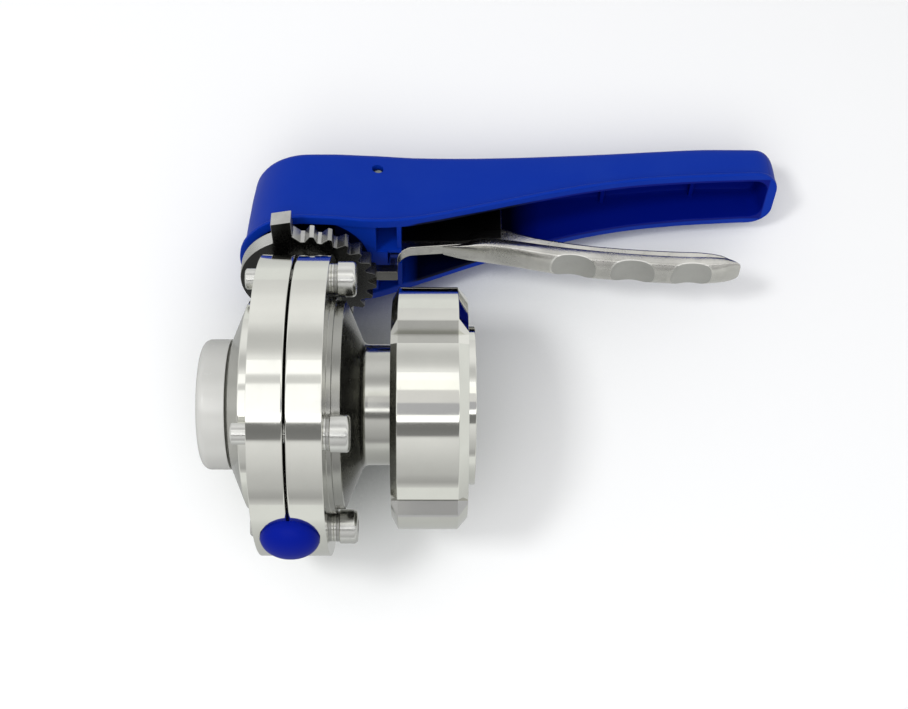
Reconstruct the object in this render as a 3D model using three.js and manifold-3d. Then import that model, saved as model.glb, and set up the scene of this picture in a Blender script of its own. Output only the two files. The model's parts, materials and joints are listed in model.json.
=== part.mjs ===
// Hygienic butterfly valve with a notched squeeze handle, in millimetres.
// X is the flow axis with the union nut at +X, Z is the stem axis with the handle at +Z.
// The origin is where the two axes cross. The disc stands open, in line with the handle.

import * as THREE from "three";
import { mergeVertices } from "three/addons/utils/BufferGeometryUtils.js";
import Module from "manifold-3d";

const wasm = await Module();
wasm.setup();

// ------------------------------------------------------------------ driving sizes

// Gaps between neighbours
const runGap = 0.3; // pieces that turn or slide on each other
const fitGap = 0.3; // pieces that stay where they are put
const cutPast = 1; // how far a cut runs past the surface that it opens

// Pipe
const boreRadius = 16;
const pipeWall = 1.5;
const weldEnd = 25.8; // from the centre to the face of the weld stub
const stubEnd = 28; // from the centre to the butt weld of the liner

// Body halves
const flangeRadius = 43.5;
const flangeFace = 10; // from the centre to the outer face of a half
const seamGap = 0.5;
const flangeChamfer = 0.5;
const stepInset = 12; // of the raised step inside the rim
const stepHeight = 1.4;
const shoulderInset = 1.3; // of the shoulder inside the step
const shoulderHeight = 2.4;
const coneHeight = 5;
const coneFoot = 0.9; // height of the cone's foot over the pipe
const footLength = 1.6; // of the hollow curve from the cone to the pipe
const footShare = 0.35; // of that curve's length and height, at its middle

// Seat
const pocketRadius = 24;
const seatHalfWidth = 7;

// Stem and its bearings
const stemRadius = 5;
const bushWall = 1.7;
const bushInset = 3.3; // of the upper bush's outer end inside the rim
const ringThickness = 1.6; // of the round seal under a bush
const socketSide = 6; // square joint between stem and disc
const socketDepth = 8;
const socketMouth = 18.5; // from the centre to the disc's upper end
const trunnionInset = 6.5; // of the lower end of the disc's trunnion inside the rim
const driveSide = 7; // square end in the handle
const driveInset = 1; // of its lower end below the plate's top
const stemTop = 21; // over the handle's lower edge

// Disc
const discThickness = 4;
const discHubRadius = 5.6;
const discHubInset = 1.6; // of the hub's ends inside the rim
const discRimThickness = 2.2;
const discRimStep = 0.1; // of the belly inside the faces of the rim
const discFlatShare = 0.55; // of the disc's radius, where the belly is level
const discBellyShare = 0.9; // of the disc's radius, where the belly meets the rim

// Cap screws through the flange
const screwCount = 4;
const screwInset = 6.85; // of the screw circle inside the rim
const screwRadius = 3;
const screwHeadRadius = 5.1;
const screwHeadHeight = 5.3;
const screwHeadRound = 1.2;
const screwSocket = 2; // half the width across the flats of the hexagon
const screwSocketDepth = 2.3;
const screwTailLength = 4.6; // past the face of the weld half
const flatWasherThickness = 0.7;
const splitWasherThickness = 1;
const washerRadius = 4.5;
const washerSlit = 1;

// Bottom plug
const plugRadius = 8.2;
const plugEdge = 0.9;
const plugDome = 5;
const plugShank = 4.5;
const plugSeat = 0.9; // depth of its flat below the rim
const plugLead = 0.6; // how far its shank narrows, over the lead's length
const plugLeadLength = 0.8;

// Neck and index plate
const neckRadius = 11;
const neckRise = 1.7; // from the rim to the underside of the plate
const neckSide = 14;
const plateThickness = 4.8;
const plateRimRadius = 20.4;
const notchTipRadius = 21.5;
const notchRootRadius = 18.9;
const notchPitch = 15; // degrees
const notchRootWidth = 1.2;
const notchTipWidth = 1.3;
const stopCount = 13; // notches, from the handle across the pipe one way to the other way
const lugRadius = 28.2;
const lugWidth = 6;
const lugGap = 0.9; // from the lever's side at the end of the travel

// Union
const linerEnd = 51;
const linerFaceRadius = 23.15;
const linerCollarRadius = 25;
const linerCollarStart = 33;
const linerCollarLength = 9;
const linerTaperLength = 4;
const linerChamfer = 0.4;
const nutRadius = 35;
const nutStart = 27.3;
const nutLength = 21.5;
const nutChamferLength = 1.9; // at its back
const nutMouthChamferLength = 2.8;
const nutChamferHeight = 3.3;
const nutThreadRadius = 29.2;
const nutThreadLead = 0.6;
const nutDrop = 1; // how low it hangs on the liner while it is loose
const nutNeckRadius = 21;
const slotCount = 4;
const slotMouth = 9.2;
const slotFloor = 3.6;
const slotDepth = 4;
const slotTurn = 4.3; // degrees that the nut stands turned, with its front raised

// End cap
const capWall = 1.2;
const capGap = 0.2;
const capLead = 0.7; // how far its mouth widens, over the lead's length
const capLeadLength = 1.6;
const capFloor = 1.2;
const capRound = 2.6;

// Handle: heights are over the lower edge of its hub
const hubLift = 3; // of that edge over the index plate
const hubRadius = 21.2;
const hubHeight = 29.9;
const handleDraft = 0.07; // inward lean of the walls
const handleWall = 2.4;
const handleRoof = 3;
const handleRound = 3;
const lipHeight = 1.2;
const lipDepth = 0.9;
const handleLength = 149.1;
const handleEndRound = 7.5;
const handleEndBlunt = 0.4; // how far that round would run on past the end
const handleTopRound = 5.5;
const handleTopBlunt = 0.2;
const bossRadius = 9.5;
const ribThickness = 1.3;
const cheekGap = 0.55; // between the lever and the ribs beside it
const shelfStart = 9;
const shelfLift = 1;
const shelfThickness = 2;
const gripRibDrop = 3;
const cellStart = 20;
const cellLength = 9;
const gripRibPlaces = [93.5, 123];

// Handle screw
const handleScrewRadius = 2.5;
const handleScrewLength = 16;
const handleScrewHeadRadius = 4.6;
const handleScrewHeadHeight = 2.8;
const handleSocket = 1.5; // half the width across the flats of the hexagon
const handleSocketFloor = 1.1; // over the underside of the head
const handleWasherRadius = 6.2;
const handleWasherThickness = 1.1;
const recessDepth = 4.6;

// Lever: heights are over the lower edge of the handle's hub
const pivotPlace = 21.5;
const pivotHeight = 24;
const pinRadius = 1.5;
const pinInset = 0.9; // of its ends in the handle's walls
const eyeRadius = 3.2;
const leverThickness = 4.1;
const legEnd = 27.9;
const toothDepth = 2.8; // of the leg below the plate's top
const toothHeight = 3.2;
const noseGap = 0.4; // between the tooth's nose and the notch's floor
const noseInset = 0.2; // of the leg behind the nose
const legWidth = 2.6;
const neckHeight = 4.1;
const neckRoot = 54; // where the neck's lower edge runs into the grip
const webEnd = 60.5;
const bendRadius = 5;
const rootDepth = 1.2; // of the web and the back wall in the grip
const gripStart = 42;
const gripFull = 68; // where the grip reaches its full width
const gripHalfWidth = 4.7;
const gripMiddle = 0.33; // share of its height, where it is widest
const gripLean = 0.7; // how far each side leans in, up to the seam with the back wall
const gripTip = 134.2;
const gripEndRound = 5;
const gripEndWidth = 0.5; // share of the full width left at the tip
const humpHeight = 11.3; // of the back wall over its root
const backStart = 48;
const backInset = 1.5; // of the back wall's end behind the grip's tip
const backRound = 1.1;
const fingerPlaces = [81, 100, 119];
const fingerRadius = 12.4;
const fingerDepth = 2;

// Return spring
const springPlace = 42;
const springSeatHeight = 19.5;
const springSeatRadius = 4.2;
const springSeatDepth = 3;
const springRadius = 2.9; // to the middle of the wire
const springWire = 0.9;
const springTurns = 5;

// Facets round a full turn
const fingerFacets = 60;
const bigFacets = 48;
const middleFacets = 40;
const smallFacets = 24;
const holeFacets = 16;
const hexSides = 6;
const springStepCount = 8; // rings round each turn of the spring
const springSides = 5; // facets round its wire

// ------------------------------------------------------------------ worked-out sizes

const pipeRadius = boreRadius + pipeWall;
const seamHalf = seamGap / 2;
const bushRadius = stemRadius + runGap + bushWall;
const bearingRadius = bushRadius + fitGap;
const stemHole = stemRadius + runGap;
const stepRadius = flangeRadius - stepInset;
const shoulderRadius = stepRadius - shoulderInset;
const screwCircle = flangeRadius - screwInset;
const trunnionEnd = flangeRadius - trunnionInset;
const ringStart = pocketRadius + fitGap;
const bushStart = ringStart + ringThickness + fitGap;
const upperBushEnd = flangeRadius - bushInset;
const plugFace = plugSeat - flangeRadius;
const plateBottom = flangeRadius + neckRise;
const plateTop = plateBottom + plateThickness;
const hubBase = plateTop + hubLift;
const coneEnd = flangeFace + stepHeight + shoulderHeight + coneHeight;
const screwHole = screwRadius + fitGap;
const seatHeadFace = flangeFace + flatWasherThickness + splitWasherThickness;
const pivotZ = hubBase + pivotHeight;
const screwHeadZ = hubBase + hubHeight - recessDepth;
const quarterTurn = 90;
const halfTurn = 2 * quarterTurn;
const fullTurn = 2 * halfTurn;
const degrees = Math.PI / halfTurn;
const lastStop = ((stopCount - 1) / 2) * notchPitch; // degrees from the open stop
const firstStop = -lastStop;

// ------------------------------------------------------------------ solids from three.js geometry

// A closed geometry as a solid that can be joined and cut.
function solidOf(geometry) {
  const bare = new THREE.BufferGeometry().setAttribute("position", geometry.getAttribute("position"));
  bare.setIndex(geometry.index);
  const merged = mergeVertices(bare, 1e-4);
  const mesh = new wasm.Mesh({
    numProp: 3,
    vertProperties: new Float32Array(merged.getAttribute("position").array),
    triVerts: new Uint32Array(merged.index.array),
  });
  return new wasm.Manifold(mesh);
}

function geometryOf(solid) {
  const { vertProperties, triVerts } = solid.getMesh();
  const shared = new THREE.BufferGeometry()
    .setAttribute("position", new THREE.BufferAttribute(new Float32Array(vertProperties), 3))
    .setIndex(new THREE.BufferAttribute(new Uint32Array(triVerts), 1));
  const faceted = shared.toNonIndexed();
  faceted.computeVertexNormals();
  return faceted;
}

// Turns an outline of [along, radius] points about X or Z. Its faces point out whichever way it runs.
function turned(outline, axis, facets = bigFacets) {
  const points = outline.map(([along, radius]) => new THREE.Vector2(radius, along));
  if (THREE.ShapeUtils.area(points) < 0) points.reverse();
  points.push(points[0].clone());
  const geometry = new THREE.LatheGeometry(points, facets);
  return solidOf(axis === "x" ? geometry.rotateZ(-Math.PI / 2) : geometry.rotateX(Math.PI / 2));
}

function rod(axis, radius, start, end, facets = smallFacets) {
  return turned([[start, 0], [start, radius], [end, radius], [end, 0]], axis, facets);
}

function tube(axis, outer, inner, start, end, facets = smallFacets) {
  return turned([[start, inner], [start, outer], [end, outer], [end, inner]], axis, facets);
}

function block([x0, x1], [y0, y1], [z0, z1]) {
  const geometry = new THREE.BoxGeometry(x1 - x0, y1 - y0, z1 - z0);
  return solidOf(geometry.translate((x0 + x1) / 2, (y0 + y1) / 2, (z0 + z1) / 2));
}

// A shape drawn in X and Y, raised from one height to another.
function raised(shape, z0, z1) {
  const geometry = new THREE.ExtrudeGeometry(shape, { depth: z1 - z0, bevelEnabled: false });
  return solidOf(geometry.translate(0, 0, z0));
}

// A shape drawn in X and Z, as thick as asked, with its middle on Y = 0.
function profiled(shape, thickness) {
  const geometry = new THREE.ExtrudeGeometry(shape, { depth: thickness, bevelEnabled: false });
  return solidOf(geometry.rotateX(Math.PI / 2).translate(0, thickness / 2, 0));
}

// A skin over rings of [x, y, z] points that run anticlockwise seen from +X, with flat ends.
function lofted(rings) {
  const count = rings[0].length;
  const triangles = [];
  rings.slice(1).forEach((next, i) => {
    const ring = rings[i];
    for (let j = 0; j < count; j++) {
      const k = (j + 1) % count;
      triangles.push(ring[j], ring[k], next[j], ring[k], next[k], next[j]);
    }
  });
  const first = rings[0];
  const last = rings[rings.length - 1];
  for (let j = 1; j < count - 1; j++) {
    triangles.push(first[0], first[j + 1], first[j]);
    triangles.push(last[0], last[j], last[j + 1]);
  }
  const positions = new THREE.Float32BufferAttribute(triangles.flat(), 3);
  return solidOf(new THREE.BufferGeometry().setAttribute("position", positions));
}

// A smooth line through [place, value] stations, level before the first and after the last.
// The places are shares of a length, and the values are shares of a height or width.
function smoothLine(length, size, shares) {
  const stations = shares.map(([place, value]) => [place * length, value * size]);
  const slope = (i) => {
    const before = stations[Math.max(i - 1, 0)];
    const after = stations[Math.min(i + 1, stations.length - 1)];
    return (after[1] - before[1]) / (after[0] - before[0]);
  };
  return (x) => {
    const inside = THREE.MathUtils.clamp(x, stations[0][0], stations[stations.length - 1][0]);
    const found = stations.findIndex(([place]) => place >= inside);
    const i = Math.max(found, 1);
    const [x0, v0] = stations[i - 1];
    const [x1, v1] = stations[i];
    const width = x1 - x0;
    const t = (inside - x0) / width;
    const bend = 3 * t * t - 2 * t * t * t;
    const rise = (t * t * t - 2 * t * t + t) * width * slope(i - 1) + (t * t * t - t * t) * width * slope(i);
    return v0 + (v1 - v0) * bend + rise;
  };
}

const evenly = (start, end, steps) =>
  Array.from({ length: steps + 1 }, (_, i) => start + ((end - start) * i) / steps);

// ------------------------------------------------------------------ materials

const steelColour = 0xc6c6c2;
const brushed = () => new THREE.MeshStandardMaterial({ color: steelColour, roughness: 0.28, metalness: 1 });
const polished = () => new THREE.MeshStandardMaterial({ color: 0xd0d0cc, roughness: 0.16, metalness: 1 });
const cast = () => new THREE.MeshStandardMaterial({ color: 0xbdbbb2, roughness: 0.42, metalness: 1 });
const springSteel = () => new THREE.MeshStandardMaterial({ color: 0xa9a9a6, roughness: 0.3, metalness: 1 });
const bluePlastic = () => new THREE.MeshStandardMaterial({ color: 0x1a3ba8, roughness: 0.38, metalness: 0 });
const rubber = () => new THREE.MeshStandardMaterial({ color: 0x1c1c1e, roughness: 0.75, metalness: 0 });
const bearingPlastic = () => new THREE.MeshStandardMaterial({ color: 0xe9e7df, roughness: 0.5 });
const milkyPlastic = () => {
  const plastic = new THREE.MeshStandardMaterial({ color: 0xf1f3f0, roughness: 0.3, metalness: 0 });
  plastic.transparent = true;
  plastic.opacity = 0.75;
  return plastic;
};

const valve = new THREE.Group();

function place(name, solid, material, group = valve) {
  const mesh = new THREE.Mesh(geometryOf(solid), material);
  mesh.name = name;
  group.add(mesh);
  return mesh;
}

// ------------------------------------------------------------------ body halves

// The outline of a half, as distances from the seam plane and from the flow axis.
function halfOutline(end) {
  const shoulder = flangeFace + stepHeight;
  const coneStart = coneEnd - coneHeight;
  const edge = flangeChamfer;
  return [
    [seamHalf, pocketRadius],
    [seamHalf, flangeRadius],
    [flangeFace - edge, flangeRadius],
    [flangeFace, flangeRadius - edge],
    [flangeFace, stepRadius],
    [shoulder, stepRadius],
    [shoulder, shoulderRadius],
    [coneStart - edge, shoulderRadius],
    [coneStart, shoulderRadius - edge],
    [coneEnd, pipeRadius + coneFoot],
    [coneEnd + footLength * footShare, pipeRadius + coneFoot * footShare],
    [coneEnd + footLength, pipeRadius],
    [end, pipeRadius],
    [end, boreRadius],
    [seatHalfWidth, boreRadius],
    [seatHalfWidth, pocketRadius],
  ];
}

// The angles of the cap screws about the flow axis, between the stem's two ends.
const screwAngles = evenly(0.5, screwCount - 0.5, screwCount - 1)
  .map((place) => ((fullTurn * place) / screwCount) * degrees);
const screwSpots = screwAngles.map((angle) => [
  0,
  screwCircle * Math.cos(angle),
  screwCircle * Math.sin(angle),
]);

function screwHoles(side) {
  const start = seamHalf - fitGap;
  const end = flangeFace + fitGap;
  const hole = side > 0 ? [start, end] : [-end, -start];
  return screwSpots.map((spot) => rod("x", screwHole, ...hole, holeFacets).translate(spot));
}

function bodyHalf(side, end) {
  const outline = halfOutline(end).map(([along, radius]) => [side * along, radius]);
  const nearSeam = (reach) => (side > 0 ? [seamHalf, reach] : [-reach, -seamHalf]);
  const collar = rod("z", neckRadius, flangeRadius - neckRadius / 2, plateBottom);
  const across = [-neckSide / 2, neckSide / 2];
  const square = block(across, across, [plateBottom, plateTop - runGap]);
  const reach = neckRadius + neckSide;
  const neck = collar
    .add(square)
    .intersect(block(nearSeam(reach), [-reach, reach], [0, plateTop + reach]));
  const bearing = rod("z", bearingRadius, pocketRadius - cutPast, upperBushEnd + fitGap);
  const lowerBearing = rod("z", bearingRadius, -flangeRadius - cutPast, cutPast - pocketRadius);
  const stemBore = rod("z", stemHole, pocketRadius - cutPast, plateTop + cutPast);
  const plugFlat = rod("z", plugRadius + fitGap, -flangeRadius - cutPast, plugFace);
  const cuts = [bearing, lowerBearing, stemBore, plugFlat, ...screwHoles(side)];
  return cuts.reduce((half, cut) => half.subtract(cut), turned(outline, "x").add(neck));
}

place("body_weld_half", bodyHalf(-1, weldEnd), polished());
place("body_union_half", bodyHalf(1, stubEnd), polished());

// ------------------------------------------------------------------ seat, disc and stem

const seatBore = rod("z", stemHole, -pocketRadius - cutPast, pocketRadius + cutPast);
const seat = tube("x", pocketRadius - fitGap, boreRadius, -seatHalfWidth, seatHalfWidth, bigFacets);
place("seat_ring", seat.subtract(seatBore), rubber());

// The open disc lies in the XZ plane, thick at its hub and thin at its rim.
const discRadius = boreRadius - runGap;
const discShape = turned(
  [
    [-discRimThickness / 2, 0],
    [-discRimThickness / 2, discRadius],
    [discRimThickness / 2, discRadius],
    [discRimThickness / 2, 0],
  ],
  "z",
  middleFacets,
);
const bellyFace = discThickness / 2;
const bellyRim = discRimThickness / 2 - discRimStep;
const discBelly = turned(
  [
    [-bellyFace, 0],
    [-bellyFace, discRadius * discFlatShare],
    [-bellyRim, discRadius * discBellyShare],
    [bellyRim, discRadius * discBellyShare],
    [bellyFace, discRadius * discFlatShare],
    [bellyFace, 0],
  ],
  "z",
  middleFacets,
);
const openDisc = discShape.add(discBelly).rotate([quarterTurn, 0, 0]);
const hubBar = rod("z", discHubRadius, discHubInset - discRadius, discRadius - discHubInset);
const trunnions = rod("z", stemRadius, -trunnionEnd, socketMouth);
const half = socketSide / 2 + fitGap;
const socketFloor = socketMouth - socketDepth;
const discSocket = block([-half, half], [-half, half], [socketFloor, socketMouth + cutPast]);
place("disc", openDisc.add(hubBar).add(trunnions).subtract(discSocket), polished());

const tongue = socketSide / 2;
const drive = driveSide / 2;
const driveStart = plateTop - driveInset;
const driveEnd = hubBase + stemTop;
const stemBody = rod("z", stemRadius, socketMouth + fitGap, driveStart)
  .add(block([-tongue, tongue], [-tongue, tongue], [socketFloor + fitGap, socketMouth + cutPast]))
  .add(block([-drive, drive], [-drive, drive], [driveStart - cutPast, driveEnd]));
const threadRadius = handleScrewRadius + fitGap;
const threadEnd = screwHeadZ - handleScrewLength - cutPast;
const stemThread = rod("z", threadRadius, threadEnd, driveEnd + cutPast, holeFacets);
place("stem", stemBody.subtract(stemThread), polished());

// A bush and a round seal hold each end of the stem.
const bushPlaces = [["upper", 1], ["lower", -1]];
bushPlaces.forEach(([end, side]) => {
  const bush = tube("z", bushRadius, stemHole, bushStart, side > 0 ? upperBushEnd : trunnionEnd);
  const middle = ringStart + ringThickness / 2;
  const thick = (bushRadius - stemHole) / 2;
  const seal = turned(
    evenly(0, fullTurn, hexSides).slice(1).map((angle) => [
      middle + (ringThickness / 2) * Math.sin(angle * degrees),
      stemHole + thick + thick * Math.cos(angle * degrees),
    ]),
    "z",
    smallFacets,
  );
  const turn = side > 0 ? [0, 0, 0] : [halfTurn, 0, 0];
  place(end + "_bush", bush.rotate(turn), bearingPlastic());
  place(end + "_stem_seal", seal.rotate(turn), rubber());
});

// ------------------------------------------------------------------ cap screws and washers

function hexPrism(axis, flat, start, end) {
  return rod(axis, flat / Math.cos(Math.PI / hexSides), start, end, hexSides);
}

const screwTop = seatHeadFace + screwHeadHeight;
const screwBend = screwHeadRound * (1 - Math.SQRT1_2);
const screwHead = turned(
  [
    [seatHeadFace, 0],
    [seatHeadFace, screwHeadRadius],
    [screwTop - screwHeadRound, screwHeadRadius],
    [screwTop - screwBend, screwHeadRadius - screwBend],
    [screwTop, screwHeadRadius - screwHeadRound],
    [screwTop, 0],
  ],
  "x",
  smallFacets,
);
const capScrew = screwHead
  .add(rod("x", screwRadius, -flangeFace - screwTailLength, seatHeadFace + cutPast, holeFacets))
  .subtract(hexPrism("x", screwSocket, screwTop - screwSocketDepth, screwTop + cutPast));
const washerSeam = flangeFace + flatWasherThickness;
const flatWasher = tube("x", washerRadius, screwHole, flangeFace, washerSeam);
const slit = block(
  [flangeFace, seatHeadFace + cutPast],
  [-washerSlit / 2, washerSlit / 2],
  [0, washerRadius + cutPast],
);
const splitWasher = tube("x", washerRadius, screwHole, washerSeam, seatHeadFace).subtract(slit);

screwSpots.forEach((spot, i) => {
  const number = i + 1;
  place("cap_screw_" + number, capScrew.translate(spot), brushed());
  place("flat_washer_" + number, flatWasher.translate(spot), brushed());
  place("split_washer_" + number, splitWasher.translate(spot), springSteel());
});

// ------------------------------------------------------------------ bottom plug

const plugRim = plugFace - plugEdge;
const plugTop = plugFace + plugShank;
const shankRadius = bearingRadius - fitGap;
const plugOutline = [
  [plugTop, 0],
  [plugTop, shankRadius - plugLead],
  [plugTop - plugLeadLength, shankRadius],
  [plugFace, shankRadius],
  [plugFace, plugRadius],
  ...evenly(0, quarterTurn, 5).map((angle) => [
    plugRim - plugDome * Math.sin(angle * degrees),
    plugRadius * Math.cos(angle * degrees),
  ]),
];
place("bottom_plug", turned(plugOutline, "z", middleFacets), bluePlastic());

// ------------------------------------------------------------------ index plate

// A point in the plane of the plate, from its radius, its angle from +X and a step sideways.
function platePoint(radius, angle, sideways = 0) {
  const along = Math.sqrt(radius * radius - sideways * sideways);
  const c = Math.cos(angle * degrees);
  const s = Math.sin(angle * degrees);
  return new THREE.Vector2(along * c - sideways * s, along * s + sideways * c);
}

// One V notch for each stop of the handle, then a lug at each end, then a plain rim behind.
// The near side of a lug lies along the lever's side when the handle is at its last stop.
function plateOutline() {
  const points = [];
  for (let i = 0; i < stopCount; i++) {
    const angle = firstStop + i * notchPitch;
    points.push(platePoint(notchRootRadius, angle, -notchRootWidth / 2));
    points.push(platePoint(notchRootRadius, angle, notchRootWidth / 2));
    if (i + 1 < stopCount) {
      const tip = angle + notchPitch / 2;
      points.push(platePoint(notchTipRadius, tip, -notchTipWidth / 2));
      points.push(platePoint(notchTipRadius, tip, notchTipWidth / 2));
    }
  }
  const near = leverThickness / 2 + lugGap;
  const far = near + lugWidth;
  const foot = Math.asin(far / plateRimRadius) / degrees;
  points.push(platePoint(notchTipRadius, lastStop, near));
  points.push(platePoint(lugRadius, lastStop, near));
  points.push(platePoint(lugRadius, lastStop, far));
  evenly(lastStop + foot, fullTurn + firstStop - foot, holeFacets).forEach((angle) => {
    points.push(platePoint(plateRimRadius, angle));
  });
  points.push(platePoint(lugRadius, firstStop, -far));
  points.push(platePoint(lugRadius, firstStop, -near));
  points.push(platePoint(notchTipRadius, firstStop, -near));
  return points;
}

const holeHalf = neckSide / 2 + fitGap;
const holeAcross = [-holeHalf, holeHalf];
const plateHole = block(holeAcross, holeAcross, [plateBottom - cutPast, plateTop + cutPast]);
const wholePlate = raised(new THREE.Shape(plateOutline()), plateBottom, plateTop);
place("index_plate", wholePlate.subtract(plateHole), brushed());

// ------------------------------------------------------------------ union liner and nut

const linerBack = linerCollarStart + linerCollarLength;
place(
  "union_liner",
  turned(
    [
      [stubEnd, pipeRadius],
      [linerCollarStart, pipeRadius],
      [linerCollarStart, linerCollarRadius],
      [linerBack, linerCollarRadius],
      [linerBack + linerTaperLength, linerFaceRadius],
      [linerEnd - linerChamfer, linerFaceRadius],
      [linerEnd, linerFaceRadius - linerChamfer],
      [linerEnd, boreRadius],
      [stubEnd, boreRadius],
    ],
    "x",
  ),
  polished(),
);

const nutEnd = nutStart + nutLength;
const nutShoulder = linerCollarStart - runGap;
const nutBody = turned(
  [
    [nutStart, nutNeckRadius],
    [nutStart, nutRadius - nutChamferHeight],
    [nutStart + nutChamferLength, nutRadius],
    [nutEnd - nutMouthChamferLength, nutRadius],
    [nutEnd, nutRadius - nutChamferHeight],
    [nutEnd, nutThreadRadius + nutThreadLead],
    [nutEnd - nutThreadLead, nutThreadRadius],
    [nutShoulder, nutThreadRadius],
    [nutShoulder, nutNeckRadius],
  ],
  "x",
);
// A slot widens at the same slope outside the nut as inside it.
const slotOuter = slotMouth - slotFloor / 2;
const slotOutline = new THREE.Shape([
  new THREE.Vector2(-slotFloor / 2, nutRadius - slotDepth),
  new THREE.Vector2(slotFloor / 2, nutRadius - slotDepth),
  new THREE.Vector2(slotOuter, nutRadius + slotDepth),
  new THREE.Vector2(-slotOuter, nutRadius + slotDepth),
]);
const slotLength = nutLength + 2 * cutPast;
const slotCut = profiled(slotOutline, slotLength)
  .rotate([0, 0, quarterTurn])
  .translate([nutStart + nutLength / 2, 0, 0]);
const slotAngles = Array.from({ length: slotCount }, (_, i) => (fullTurn * i) / slotCount - slotTurn);
const nut = slotAngles.reduce((solid, angle) => solid.subtract(slotCut.rotate([angle, 0, 0])), nutBody);
place("union_nut", nut.translate([0, 0, -nutDrop]), polished());

// ------------------------------------------------------------------ end cap on the weld stub

const capInner = pipeRadius + capGap;
const capOuter = capInner + capWall;
const capFace = -(weldEnd + fitGap + capFloor);
const capMouth = -(coneEnd + fitGap);
place(
  "end_cap",
  turned(
    [
      [capFace, 0],
      ...evenly(quarterTurn, 0, 4).map((angle) => [
        capFace + capRound * (1 - Math.sin(angle * degrees)),
        capOuter - capRound + capRound * Math.cos(angle * degrees),
      ]),
      [capMouth, capOuter],
      [capMouth, capInner + capLead],
      [capMouth - capLeadLength, capInner],
      [capFace + capFloor, capInner],
      [capFace + capFloor, 0],
    ],
    "x",
  ),
  milkyPlastic(),
);

// ------------------------------------------------------------------ handle

// Half the width of the arm at its lip, and the heights of its lower edge and of its top.
const armHalfWidth = smoothLine(handleLength, hubRadius, [
  [0, 1], [0.0607, 0.9764], [0.1349, 0.9057], [0.2293, 0.7783], [0.3709, 0.6792], [0.5394, 0.6132],
  [0.7417, 0.5708], [0.944, 0.5519],
]);
const armLow = smoothLine(handleLength, hubHeight, [
  [0.0604, 0], [0.1341, 0.0067], [0.228, 0.1204], [0.3689, 0.3545], [0.5366, 0.6087], [0.6707, 0.7559],
  [0.8048, 0.8361], [0.939, 0.8796],
]);
const armTop = smoothLine(handleLength, hubHeight, [
  [0, 1], [0.1073, 1.0351], [0.228, 1.097], [0.3555, 1.1455], [0.6103, 1.2508], [0.8249, 1.3445],
  [0.9256, 1.3545],
]);

// How much of a rounded end is left at a place along the arm, as a share of the full width or height.
function roundedEnd(x, end, round) {
  const into = THREE.MathUtils.clamp((x - (end - round)) / round, 0, 1);
  return Math.sqrt(Math.max(1 - into * into, 0));
}

// The walls, lip and roof at a place along the arm. An inset gives the hollow inside them.
function armSection(x) {
  const topShare = roundedEnd(x, handleLength + handleTopBlunt, handleTopRound);
  const sideShare = roundedEnd(x, handleLength + handleEndBlunt, handleEndRound);
  const top = armTop(x) - handleTopRound * (1 - topShare);
  const low = armLow(x);
  const lip = armHalfWidth(x) - handleEndRound * (1 - sideShare);
  const foot = lip - lipDepth;
  return { low, top, lip, foot, crown: foot - handleDraft * (top - low) };
}

function outerRing(x) {
  const { low, top, lip, foot, crown } = armSection(x);
  const round = Math.min(handleRound, (top - low) / 3);
  const bend = round * (1 - Math.SQRT1_2);
  const side = [
    [lip, low],
    [lip, low + lipHeight],
    [foot, low + lipHeight + lipDepth / 2],
    [crown, top - round],
    [crown - bend, top - bend],
    [crown - round, top],
  ];
  const other = side.map(([y, z]) => [-y, z]).reverse();
  return [...side, ...other].map(([y, z]) => [x, y, hubBase + z]);
}

function innerRing(x) {
  const { low, top, foot, crown } = armSection(x);
  const roof = top - handleRoof;
  const side = [
    [foot - handleWall, low - cutPast],
    [foot - handleWall, low],
    [crown - handleWall, roof - handleRound / 2],
    [crown - handleWall - handleRound / 2, roof],
  ];
  const other = side.map(([y, z]) => [-y, z]).reverse();
  return [...side, ...other].map(([y, z]) => [x, y, hubBase + z]);
}

function hubOutline(inset, roof, bottom) {
  const foot = hubRadius - lipDepth - inset;
  const crown = foot - handleDraft * hubHeight;
  const top = hubHeight - roof;
  const round = handleRound - Math.min(inset, handleRound / 2);
  const arc = evenly(0, quarterTurn, 3).map((angle) => [
    hubBase + top - round * (1 - Math.sin(angle * degrees)),
    crown - round * (1 - Math.cos(angle * degrees)),
  ]);
  const skirt = inset > 0
    ? [[hubBase + bottom, foot], [hubBase, foot]]
    : [[hubBase, hubRadius], [hubBase + lipHeight, hubRadius], [hubBase + lipHeight + lipDepth / 2, foot]];
  return [[hubBase + bottom, 0], ...skirt, ...arc, [hubBase + top, 0]];
}

const armShares = [
  0, 0.034, 0.063, 0.094, 0.135, 0.182, 0.229, 0.297, 0.371, 0.459, 0.539, 0.641, 0.742, 0.843,
];
const armPlaces = armShares.map((share) => share * handleLength);
const outerPlaces = [...armPlaces, ...evenly(handleLength - handleEndRound, handleLength, 5)];
const hollowEnd = handleLength - handleWall - handleTopBlunt - handleEndBlunt;
const innerPlaces = [...armPlaces, ...evenly(handleLength - handleEndRound - backInset, hollowEnd, 3)];
const wholeHandle = turned(hubOutline(0, 0, 0), "z", middleFacets).add(lofted(outerPlaces.map(outerRing)));
const shell = wholeHandle
  .subtract(turned(hubOutline(handleWall, handleRoof, -cutPast), "z", middleFacets))
  .subtract(lofted(innerPlaces.map(innerRing)));

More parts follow.
